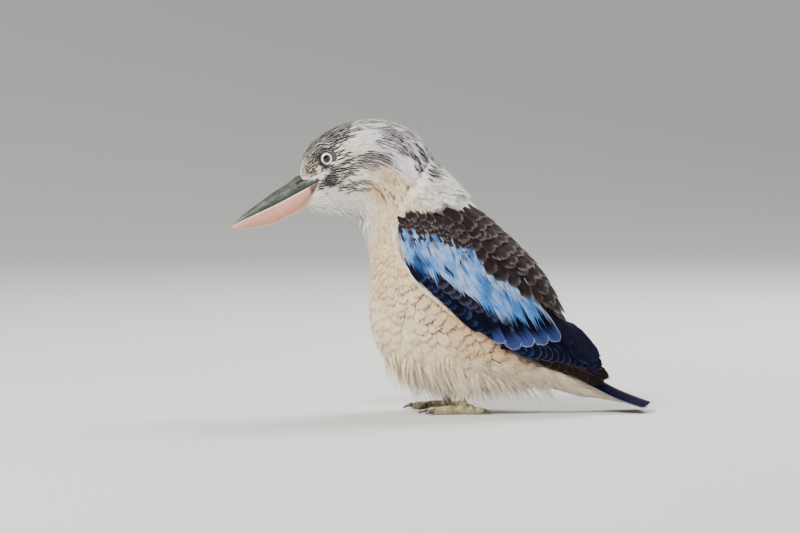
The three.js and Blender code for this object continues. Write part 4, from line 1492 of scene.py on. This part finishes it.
# %% Bill blades
# Each row: ridge y and z, mouth y and z, keel y and z, and the half width.
BILL = np.array([
    (-100.0, 190.5, -95.5, 185.5, -97.0, 178.5, 19.4),
    (-114.2, 188.6, -108.0, 178.8, -109.2, 163.0, 15.4),
    (-121.5, 183.2, -116.5, 174.2, -118.4, 157.6, 12.6),
    (-134.0, 175.2, -129.5, 167.2, -131.0, 151.2, 9.3),
    (-146.5, 166.0, -143.5, 160.4, -144.5, 148.2, 6.6),
    (-156.5, 158.6, -154.5, 155.2, -154.5, 146.9, 4.4),
    (-163.5, 152.9, -162.5, 151.2, -161.5, 146.6, 2.6),
    (-168.4, 148.9, -168.0, 148.2, -166.6, 146.9, 0.9),
])


NOSTRIL_AT, NOSTRIL_RUN = np.array([-108.6, 187.4]), np.array([-6.0, -4.0])


def blade(node, upper, material, slot):
    """One half of the bill, lofted from the mouth's line up to the ridge or down to the keel."""
    rows, sides = 140, 72
    at = np.linspace(0, len(BILL) - 1, rows)
    s = curve(BILL, at)
    crest = s[:, 0:2] if upper else s[:, 4:6]
    mouth, half = s[:, 2:4], s[:, 6]
    reach = np.maximum(np.linalg.norm(crest - mouth, axis=1), 1.0)
    away = unit(crest - mouth)
    turn = np.linspace(0, math.pi, sides)
    sine, cosine = np.sin(turn)[None], np.cos(turn)[None]
    rise = 0.18 + (reach[:, None] - 0.18) * sine**0.85
    wide = half[:, None] * np.sign(cosine) * np.abs(cosine) ** 0.8
    slit = np.zeros((rows, sides))
    if upper:
        from_ridge = np.abs(turn[None] - math.pi / 2)
        rise = rise + 0.35 * np.exp(-(from_ridge / 0.3) ** 2) * np.minimum(1, half[:, None] / 6)
        hollow = np.exp(-((from_ridge - 0.75) / 0.22) ** 2) * ramp(at, 4.2, 1.2)[:, None]
        wide, rise = wide * (1 - 0.05 * hollow), rise - 0.35 * hollow
    rings = np.stack([wide, mouth[:, :1] + away[:, :1] * rise, mouth[:, 1:] + away[:, 1:] * rise], -1)
    if upper:
        from_start = rings[..., 1:] - NOSTRIL_AT
        t = np.clip(from_start @ NOSTRIL_RUN / (NOSTRIL_RUN @ NOSTRIL_RUN), 0, 1)
        far = np.linalg.norm(from_start - t[..., None] * NOSTRIL_RUN, axis=-1)
        slit = ramp(far, 1.5, 0.7) * (np.abs(rings[..., 0]) > 2.0)
        rings[..., 0] -= np.sign(rings[..., 0]) * slit * 0.9
    points, quads, tris = ring_surface(rings)
    quads, tris = faces_out(points, quads, tris)
    mesh = mesh_of(node + "_horn", points * MM, quads, tris)
    down = np.concatenate([np.repeat(at / at[-1], sides), [0.0, 1.0]])
    to_edge = np.concatenate([np.tile(np.abs(turn / math.pi * 2 - 1), rows), [0.5, 0.5]])
    paint_points(mesh, down_blade=down, to_edge=to_edge, slit=np.concatenate([slit.reshape(-1), [0, 0]]))
    piece = finish_piece(node + "_horn", mesh, material, slot, node)
    print(piece.name, len(mesh.vertices), "points")
    return piece


class Horn(Paint):
    """Horn has a grain that runs down the blade, paler patches, and scratches that show pale."""
    def __init__(self, name, base, pale, tip, scratched):
        super().__init__(name, Coat_Weight=0.06, Coat_Roughness=0.3)
        self.down, self.to_edge, self.slit = (self.attribute(k, 2) for k in ("down_blade", "to_edge", "slit"))
        self.grain = self.noise(self.point(self.down * 14.0, self.to_edge * 46.0), 1.0, 5.0, 0.6)
        self.fleck = self.noise(self.point(self.down * 34.0, self.to_edge * 52.0, 3.0), 1.0, 4.0, 0.7)
        self.patch = self.noise(self.place(), 130.0, 3.0)
        colour = self.mix((self.grain * 0.5 + self.patch * 0.5).ramp(0.42, 0.66) * 0.35, base, pale)
        colour = self.mix((self.grain * 0.35 + self.fleck * 0.65).ramp(0.53, 0.6) * scratched, colour, pale)
        self.colour = self.mix(self.down.ramp(0.68, 1.0), colour, tip)
        self.relief(self.grain + self.fleck * 0.5, 0.35, 0.0002)


# %% The upper blade
dark_horn = Horn("dark bill horn", rgb("#1d221a"), rgb("#808d78"), rgb("#a58d70"), 0.85)
colour = dark_horn.mix(dark_horn.to_edge.ramp(0.8, 0.97) * 0.75, dark_horn.colour, rgb("#222724"))
colour = dark_horn.mix(dark_horn.to_edge.ramp(0.25, 0.05) * 0.4, colour, rgb("#2a302c"))
# The nostril's slit is pressed in only 0.9 mm and painted near-black, as painted shade of its opening.
colour = dark_horn.mix(dark_horn.slit.ramp(0.2, 0.7), colour, rgb("#0d0c0b"))
dark_horn.feed(Base_Color=colour, Roughness=dark_horn.grain * 0.25 + 0.42)
blade("bill_upper", True, dark_horn.material, "bill_dark")

# %% The lower blade
# Flesh pink, warmer in the middle, with a cream line along the mouth and a dark smudge at its root.
pale_horn = Horn("pale bill horn", rgb("#cf8d76"), rgb("#e2b5a2"), rgb("#cdb59c"), 0.35)
side_y, side_z = pale_horn.split(pale_horn.place())[1:]
smudge_far = ((side_y + 0.0985) / 0.007) ** 2.0 + ((side_z - 0.178) / 0.0065) ** 2.0
smudge = (smudge_far + (pale_horn.patch - 0.5) * 1.6).ramp(1.3, 0.4)
colour = pale_horn.mix(pale_horn.to_edge.ramp(0.3, 0.02) * 0.6, pale_horn.colour, rgb("#e6dcb8"))
colour = pale_horn.mix(pale_horn.to_edge.ramp(0.95, 0.985), colour, rgb("#e3d0b4"))
colour = pale_horn.mix(smudge * 0.85, colour, rgb("#35211f"))
pale_horn.feed(Base_Color=colour, Roughness=pale_horn.grain * 0.25 + 0.3)
blade("bill_lower", False, pale_horn.material, "bill_pale")

# %% [markdown]
# ## Eyes and lids
#
# The eye is a wet ball, so its paint needs only how far a point is from the ball's own axis and on
# which side of it. The axis points out, and a little back and down. The lids are one sheet that
# starts on the ball, rolls over a thick margin and runs out under the feathers on the head, so that
# the ball sits in it.

# %% Eyes
EYE_AXIS = unit(np.array([1.0, 0.06, -0.08]))
EYE_AHEAD = unit(np.cross(EYE_AXIS, [0, 0, 1.0]))
EYE_AHEAD = EYE_AHEAD * (1 if EYE_AHEAD[1] < 0 else -1)
IRIS_WIDE = 0.93

wet = Paint("eye", Roughness=0.12, Coat_Weight=1.0, Coat_Roughness=0.02, Coat_IOR=1.4, IOR=1.38)
from_axis, around = wet.attribute("from_axis", 2), wet.attribute("around", 2)
rays = wet.noise(wet.point(around * 9.0, from_axis * 0.7), 1.0, 3.0, 0.6)
colour = wet.mix((from_axis + rays * 0.35).ramp(3.1, 3.6), rgb("#a08a86"), rgb("#eceae2"))
colour = wet.mix((rays - 0.5).ramp(0.05, 0.3) * 0.35, colour, rgb("#9b958c"))
colour = wet.mix((from_axis + rays * 0.2).ramp(4.4, 4.8), colour, rgb("#3a3335"))
colour = wet.mix(from_axis.ramp(2.95, 2.8), colour, rgb("#020202"))
wet.feed(Base_Color=colour)


def eyeball(sign, side):
    """A ball that bulges a little at the pupil. Each point keeps its place round the eye's axis."""
    rings, sides = 60, 72
    theta = np.linspace(0.01, math.pi - 0.01, rings)[:, None]
    phi = circle(sides)[None]
    radius = EYE_RADIUS * (1 + 0.04 * np.exp(-(theta / 0.55) ** 2))
    ahead, up = np.sin(theta) * np.cos(phi), np.sin(theta) * np.sin(phi)
    local = np.stack([np.cos(theta) * np.ones_like(phi), ahead, up], -1) * radius[..., None]
    spots = EYE_AT + local[..., :1] * EYE_AXIS + local[..., 1:2] * EYE_AHEAD
    spots = spots + local[..., 2:] * np.array([0, 0, 1.0])
    points, quads, tris = ring_surface(spots * [sign, 1, 1])
    quads, tris = faces_out(points, quads, tris)
    mesh = mesh_of(f"eyeball_{side}", points * MM, quads, tris)
    off = np.where(theta < math.pi / 2, EYE_RADIUS * np.sqrt((ahead / IRIS_WIDE) ** 2 + up**2), 9.0)
    paint_points(mesh, from_axis=np.concatenate([off.reshape(-1), [0, 9]]),
                 around=np.concatenate([np.abs(np.arctan2(up, ahead)).reshape(-1), [0, 0]]))
    return finish_piece(f"eyeball_{side}", mesh, wet.material, "eye", f"eye_{side}")


for sign, side in SIDES:
    print(eyeball(sign, side).name)

# %% Eyelids
head_tree = tree_of("head")
lid_skin = Paint("lid skin", Roughness=0.5, Coat_Weight=0.2, Coat_Roughness=0.3)
above = lid_skin.attribute("above", 2)
crease = lid_skin.noise(lid_skin.place(), 900.0, 3.0)
colour = lid_skin.mix((above + (crease - 0.5) * 0.5).ramp(-0.1, 0.6), rgb("#0e0b0c"), rgb("#33282c"))
lid_skin.feed(Base_Color=colour)
lid_skin.relief(crease, 0.5, 0.0002)


def eyelids(sign, side):
    """Rings from the lids' opening outwards: on the ball first, then rolled over, then on the head."""
    rings, sides = 22, 88
    phi = circle(sides)
    inner = 1 / np.sqrt((np.cos(phi) / 4.3) ** 2 + (np.sin(phi) / 4.75) ** 2)
    grid = []
    for k in range(rings):
        t = k / (rings - 1)
        rho = inner + (8.4 - inner) * t**1.4
        ball = np.sqrt(np.maximum(EYE_RADIUS**2 - rho**2, 0.0)) - 3.0 * np.maximum(rho - EYE_RADIUS, 0)
        margin = 0.85 * ramp(rho - inner, -0.02, 0.45) - 0.2 * ramp(rho - inner, 0.45, 1.6)
        margin = margin * (1 + 0.35 * (np.sin(phi) < 0) * np.abs(np.sin(phi)))
        spoke = np.cos(phi)[:, None] * EYE_AHEAD + np.sin(phi)[:, None] * np.array([0, 0, 1.0])
        base = EYE_AT + rho[:, None] * spoke
        head = []
        for b in base:
            hit = head_tree.ray_cast(Vector(b + EYE_AXIS * 20), Vector(-EYE_AXIS))[0]
            head.append(-3.0 if hit is None else float((np.array(hit) - b) @ EYE_AXIS))
        low, high = np.array(head) - 0.75, ball + margin
        height = np.log(np.exp(low * 1.6) + np.exp(high * 1.6)) / 1.6
        height = np.where(t == 0, ball - 0.1, height)
        grid.append(base + height[:, None] * EYE_AXIS)
    grid = np.array(grid) * [sign, 1, 1]
    quads = strips(rings, sides)
    a, b, c = (grid.reshape(-1, 3)[quads[:, q]] for q in range(3))
    if (np.cross(b - a, c - a) @ (EYE_AXIS * [sign, 1, 1])).sum() < 0:
        quads = quads[:, ::-1]
    mesh = mesh_of(f"eyelids_{side}", grid.reshape(-1, 3) * MM, quads)
    paint_points(mesh, above=np.tile(np.sin(phi - 0.5), rings))
    return finish_piece(f"eyelids_{side}", mesh, lid_skin.material, "leg_skin")


for sign, side in SIDES:
    print(eyelids(sign, side).name)

# %% [markdown]
# ## Legs and toes
#
# Kingfishers have short legs and soft, broad-soled toes, the outer two joined for much of their
# length. Tubes for the shank and the toes are melted into one skin by a voxel remesh, as the body's
# skin was. The same route then carries the scutes, the plates across the top of each toe.

# %% Routes of the toes
# Each toe: its name, its heading in degrees outwards from straight ahead, its length, its thickness at
# the root and at the tip, and the length of its claw.
TOES = (("middle", 1, 30, 4.2, 3.0, 10.5), ("outer", 14, 25.5, 3.8, 2.8, 10),
        ("inner", -24, 19.5, 3.8, 2.9, 10), ("hind", 174, 15.5, 4.0, 3.0, 10))


def toe_route(foot, toe, steps):
    """The middle line of a toe, and its thickness along it."""
    _, sign, foot_x, foot_y = foot
    _, heading, length, root, tip, _ = toe
    turn = math.radians(heading) * sign
    t = np.linspace(0, 1, steps)
    knuckle = 1 + 0.06 * np.cos(t * math.pi * 5)
    end = np.sqrt(np.maximum(0.05, 1 - np.maximum(0, (t - 0.82) / 0.18) ** 2))
    line = np.stack([sign * foot_x + math.sin(turn) * length * t, foot_y - math.cos(turn) * length * t,
                     root + (tip - root) * t - 0.8], 1)
    return line, (root + (tip - root) * t) * knuckle * end


def claw_route(foot, toe, steps):
    """The middle line of a claw, which curves down to the floor, and its thickness along it."""
    _, sign, foot_x, foot_y = foot
    _, heading, length, _, _, claw = toe
    turn = math.radians(heading) * sign
    t = np.linspace(0, 1, steps)
    reach = length - 1.6 + claw / 1.25 * np.sin(1.25 * t)
    radius = 1.75 * (1 - t) ** 0.75 + 0.2
    z = np.maximum(3.3 - 3 * (1 - np.cos(1.25 * t)) / (1 - math.cos(1.25)), radius * 0.6)
    return np.stack([sign * foot_x + math.sin(turn) * reach, foot_y - math.cos(turn) * reach, z], 1), radius


def shank_route(foot, steps):
    """The middle line of the leg between the feathers and the toes, and its thickness."""
    _, sign, foot_x, foot_y = foot
    t = np.linspace(0, 1, steps)
    return (np.stack([np.full(steps, sign * foot_x), foot_y - 2.2 * (1 - t), 16.5 - (16.5 - 4.2) * t], 1),
            3.4 * (1 + 0.1 * (2 * t - 1) ** 2))


def tube(line, radius, sides):
    """Rings round a line, as points, four-sided faces and end triangles."""
    ahead = unit(np.gradient(line, axis=0))
    side = unit(np.cross(ahead, np.where(np.abs(ahead[:, 2:]) > 0.9, [[0, 1.0, 0]], [[0, 0, 1.0]])))
    up = np.cross(side, ahead)
    phi = circle(sides)
    rings = line[:, None] + radius[:, None, None] * (np.cos(phi)[None, :, None] * side[:, None]
                                                     + np.sin(phi)[None, :, None] * up[:, None])
    points, quads, tris = ring_surface(rings)
    return (points, *faces_out(points, quads, tris))


print("the left middle toe is", TOES[0][2], "mm long without its claw")

# %% The finish of legs and claws
leg_paint = Paint("leg skin", Roughness=0.55, Coat_Weight=0.1, Coat_Roughness=0.4)
at = leg_paint.place()
pores = leg_paint.noise(at, 1500.0, 3.0, 0.6)
speckle = leg_paint.noise(at, 620.0, 2.0, 0.5)
blotches = leg_paint.noise(at, 160.0, 2.0)
height_z = leg_paint.split(at)[2]
colour = leg_paint.mix(blotches.ramp(0.35, 0.65), rgb("#8d8460"), rgb("#bfb288"))
colour = leg_paint.mix(speckle.ramp(0.56, 0.68) * 0.75, colour, rgb("#3a3930"))
colour = leg_paint.mix(height_z.ramp(0.0022, 0.0006) * 0.5, colour, rgb("#a89a74"))
leg_paint.feed(Base_Color=colour)
leg_paint.relief(pores + speckle * 0.6, 0.6, 0.00025)

claw_paint = Paint("claw horn", Roughness=0.32, Coat_Weight=0.3, Coat_Roughness=0.2)
streaks = claw_paint.noise(claw_paint.place(), 420.0, 4.0, 0.65)
claw_paint.feed(Base_Color=claw_paint.mix(streaks.ramp(0.35, 0.7), rgb("#2f2c28"), rgb("#6f675c")))
claw_paint.relief(streaks, 0.3, 0.0001)
print("finishes:", leg_paint.material.name, "/", claw_paint.material.name)


# %% Feet
def join(parts):
    """Several (points, quads, tris) as one."""
    base = np.cumsum([0] + [len(p[0]) for p in parts])
    return (np.concatenate([p[0] for p in parts]), np.concatenate([p[1] + b for p, b in zip(parts, base)]),
            np.concatenate([p[2] + b for p, b in zip(parts, base)]))


for foot in FEET:
    side = foot[0]
    tubes = [tube(*shank_route(foot, 12), 20)] + [tube(*toe_route(foot, toe, 24), 20) for toe in TOES]
    points, quads, tris = join(tubes)
    points[:, 2] = np.maximum(points[:, 2], 0.02)
    mesh = mesh_of(f"foot_{side}", points * MM, quads, tris)
    foot_piece = stand(f"foot_{side}", mesh)
    made = melt(foot_piece, 0.45, 3)
    for v in made.vertices:
        v.co.z = max(v.co.z, 0.00002)
    made.polygons.foreach_set("use_smooth", np.ones(len(made.polygons), bool))
    made.materials.append(leg_paint.material)
    declare(foot_piece, "leg_skin", f"shank_{side}", *(f"toe_{toe[0]}_{side}" for toe in TOES))
    points, quads, tris = join([tube(*claw_route(foot, toe, 20), 16) for toe in TOES])
    finish_piece(f"claws_{side}_foot", mesh_of(f"claws_{side}_foot", points * MM, quads, tris),
                 claw_paint.material, "claw", *(f"claw_{toe[0]}_{side}" for toe in TOES))
    print(foot_piece.name, len(made.vertices), "points")

# %% [markdown]
# ## Scutes and bristles by Geometry Nodes
#
# Plates along a toe and bristles round the mouth both repeat one small shape along a guide, which is
# just what Geometry Nodes do well. The guide carries the sizes and directions as attributes, and the
# tree has named inputs for what is the same everywhere.

# %% A tree that is run once
class Grower(Tree):
    """A Geometry Nodes tree with one guide mesh and named sizes as its inputs."""
    def __init__(self, name, **inputs):
        super().__init__(bpy.data.node_groups.new(name, "GeometryNodeTree"))
        face = self.tree.interface
        face.new_socket("Guide", in_out="INPUT", socket_type="NodeSocketGeometry")
        number = {"in_out": "INPUT", "socket_type": "NodeSocketFloat"}
        self.named = {key: face.new_socket(key.replace("_", " "), **number) for key in inputs}
        face.new_socket("Geometry", in_out="OUTPUT", socket_type="NodeSocketGeometry")
        self.values = inputs
        self.entry, self.exit = self.tree.nodes.new("NodeGroupInput"), self.tree.nodes.new("NodeGroupOutput")

    def given(self, name):
        return Socket(self, self.entry.outputs[name.replace("_", " ")])

    def own(self, name, kind):
        """An attribute that the guide carries."""
        return self.node("GeometryNodeInputNamedAttribute", {"data_type": kind}, {"Name": name})

    def end(self, shape, material):
        whole = self.node("GeometryNodeRealizeInstances", None, {0: shape})
        done = self.node("GeometryNodeSetMaterial", None, {"Geometry": whole, "Material": material})
        self.tree.links.new(done.out, self.exit.inputs[0])

    def grow(self, name, points, edges, slot, **attributes):
        """Runs the tree on a guide and leaves a plain mesh."""
        mesh = bpy.data.meshes.new(name)
        mesh.from_pydata([p * MM for p in points], edges, [])
        for key, values in attributes.items():
            values = np.asarray(values, np.float32)
            kind, field = ("FLOAT", "value") if values.ndim == 1 else ("FLOAT_VECTOR", "vector")
            mesh.attributes.new(key, kind, "POINT").data.foreach_set(field, values.ravel())
        piece = stand(name, mesh)
        modifier = piece.modifiers.new("grow", "NODES")
        modifier.node_group = self.tree
        for key, socket in self.named.items():
            modifier[socket.identifier] = self.values[key]
        made = apply_modifiers(piece)
        made.polygons.foreach_set("use_smooth", np.ones(len(made.polygons), bool))
        declare(piece, slot)
        print(name, len(made.polygons), "faces")
        return piece


# %% Scutes
scutes = Grower("scutes", pitch=1.7 * MM, wrap=2.5, proud=0.085, overlap=1.35)
spine = scutes.node("GeometryNodeMeshToCurve", None, {0: scutes.given("Guide")})
spine = scutes.node("GeometryNodeResampleCurve", {"mode": "LENGTH"},
                    {0: spine, "Length": scutes.given("pitch")})
plate = scutes.node("GeometryNodeMeshGrid", None,
                    {"Size X": 1.0, "Size Y": 1.0, "Vertices X": 9, "Vertices Y": 5})
px, py, _ = scutes.split(scutes.node("GeometryNodeInputPosition"))
angle = px * scutes.given("wrap")
flank = 1.0 - (abs(px) * 2.0) ** 5.0
swell = (py + 0.5).ramp(0.0, 0.55) * (1.0 - (py + 0.5).ramp(0.8, 1.0) * 0.75) * flank
ring = swell * scutes.given("proud") + 0.965
bent = scutes.point(angle.sine() * ring, py, angle.cosine() * ring)
shaped = scutes.node("GeometryNodeSetPosition", None, {"Geometry": plate, "Position": bent})
tangent = scutes.node("GeometryNodeInputTangent")
turned = scutes.node("FunctionNodeAxesToRotation", {"primary_axis": "Y", "secondary_axis": "Z"},
                     {0: tangent, 1: scutes.own("facing", "FLOAT_VECTOR")})
girth = scutes.own("girth", "FLOAT")
size = scutes.point(girth, scutes.given("pitch") * scutes.given("overlap"), girth)
placed = scutes.node("GeometryNodeInstanceOnPoints", None,
                     {"Points": spine, "Instance": shaped, "Rotation": turned, "Scale": size})
scutes.end(placed, leg_paint.material)

for foot in FEET:
    points, edges, girths, facing = [], [], [], []
    routes = [(toe_route(foot, toe, 24), (0, 0, 1.0), 3, 22) for toe in TOES]
    routes.append((shank_route(foot, 12), (0, -1.0, 0.3), 0, 10))
    for (line, radius), up, first, last in routes:
        base = len(points)
        points += list(line[first:last])
        edges += [(base + k, base + k + 1) for k in range(last - first - 1)]
        girths += list(radius[first:last] * MM)
        facing += [up] * (last - first)
    scutes.grow(f"scutes_{foot[0]}_foot", points, edges, "leg_skin", girth=girths, facing=facing)

# %% Bristles round the mouth
bristles = Grower("bristles", girth=0.022, bow=0.22)
bend = bristles.point(0.0, 0.5, bristles.given("bow"))
hair = bristles.node("GeometryNodeCurveQuadraticBezier", None,
                     {"Resolution": 7, "Start": (0, 0, 0), "Middle": bend, "End": (0.0, 1.0, 0.0)})
along_hair = bristles.node("GeometryNodeSplineParameter")
hair = bristles.node("GeometryNodeSetCurveRadius", None, {"Curve": hair, "Radius": 1.02 - along_hair})
section = bristles.node("GeometryNodeCurvePrimitiveCircle", None,
                        {"Resolution": 5, "Radius": bristles.given("girth")})
hair = bristles.node("GeometryNodeCurveToMesh", None,
                     {"Curve": hair, "Profile Curve": section, "Fill Caps": True})
roots_ = bristles.node("GeometryNodeMeshToPoints", None, {0: bristles.given("Guide")})
turned = bristles.node("FunctionNodeAxesToRotation", {"primary_axis": "Y", "secondary_axis": "Z"},
                       {0: bristles.own("lie", "FLOAT_VECTOR"), 1: bristles.own("out", "FLOAT_VECTOR")})
grown = bristles.node("GeometryNodeInstanceOnPoints", None, {
    "Points": roots_, "Instance": hair, "Rotation": turned, "Scale": bristles.own("reach", "FLOAT")})
bristle_paint = Paint("bristle", Roughness=0.45)
dusk = bristle_paint.noise(bristle_paint.place(), 300.0)
bristle_paint.feed(Base_Color=bristle_paint.mix(dusk, rgb("#141112"), rgb("#2b2426")))
bristles.end(grown, bristle_paint.material)

rng = np.random.default_rng(131)
points, lie, out_, reach = [], [], [], []
for sign in (1, -1):
    for k in range(20):
        y, z = -92.5 + rng.normal(0, 2.6), 187.0 + rng.normal(0, 3.4)
        hit, normal, _, _ = head_tree.ray_cast(Vector((sign * 60, y, z)), Vector((-sign, 0, 0)))
        if hit is None:
            continue
        turn = math.radians(rng.uniform(-75, 15))
        ahead = np.array([sign * 0.10, math.cos(turn), math.sin(turn)])
        points.append(np.array(hit) - np.array(normal) * 0.4)
        lie.append(unit(ahead + np.array(normal) * 0.25))
        out_.append(np.array(normal))
        reach.append(rng.uniform(5, 10) * MM)
bristles.grow("bristles", points, [], "plumage", lie=lie, out=out_, reach=reach)

# %% [markdown]
# ## Floor and light
#
# A museum specimen is looked at in soft, even light. One large soft lamp from the front and above
# models the form, a weaker one fills the shadows, and a third from behind lifts the outline.
# The floor is round and curves up into a wall on every side, so that no horizon cuts the picture.

# %% Studio
# In metres: how far the floor is flat, the radius of its curve, and the height of the wall.
FLAT, CURVE, WALL = 2.4, 2.4, 5.0


def studio_floor():
    """A round floor that curves up into a wall on every side."""
    rows = [(FLAT * share, 0.0) for share in (0, 1 / 3, 2 / 3, 1)]
    for t in np.linspace(0.08, math.pi / 2, 20):
        rows.append((FLAT + CURVE * math.sin(t), CURVE - CURVE * math.cos(t)))
    rows.append((FLAT + CURVE, WALL))
    turn = circle(96)
    points = [(r * math.cos(t), r * math.sin(t), z) for r, z in rows[1:] for t in turn] + [(0.0, 0.0, 0.0)]
    m = len(turn)
    quads = strips(len(rows) - 1, m)
    tris = [(len(points) - 1, (i + 1) % m, i) for i in range(m)]
    mesh = mesh_of("studio floor", points, quads, tris)
    mesh.materials.append(Paint("studio floor", Roughness=0.9, Base_Color=(0.62, 0.62, 0.60, 1)).material)
    floor = stand("studio_floor", mesh)
    return floor


def soft_lamp(name, place, size, watts, tint):
    lamp = bpy.data.lights.new(name, "AREA")
    lamp.shape, lamp.size, lamp.energy, lamp.color = "DISK", size, watts, tint
    holder = bpy.data.objects.new(name, lamp)
    holder.location = place
    holder.rotation_mode = "QUATERNION"
    holder.rotation_quaternion = (Vector(place) - Vector((0, 0, 0.12))).to_track_quat("Z", "Y")
    bpy.context.scene.collection.objects.link(holder)
    return holder


print(studio_floor().name)
soft_lamp("key", (1.3, -1.5, 2.1), 0.8, 130, (1.0, 0.97, 0.93))
soft_lamp("fill", (2.4, 1.4, 0.7), 1.6, 14, (0.93, 0.96, 1.0))
soft_lamp("rim", (-1.2, 0.9, 1.6), 1.2, 60, (1.0, 1.0, 1.0))
world = bpy.data.worlds.new("studio")
bpy.context.scene.world = world
world.use_nodes = True
sky = world.node_tree.nodes["Background"].inputs
sky["Color"].default_value, sky["Strength"].default_value = (0.86, 0.9, 1.0, 1), 0.45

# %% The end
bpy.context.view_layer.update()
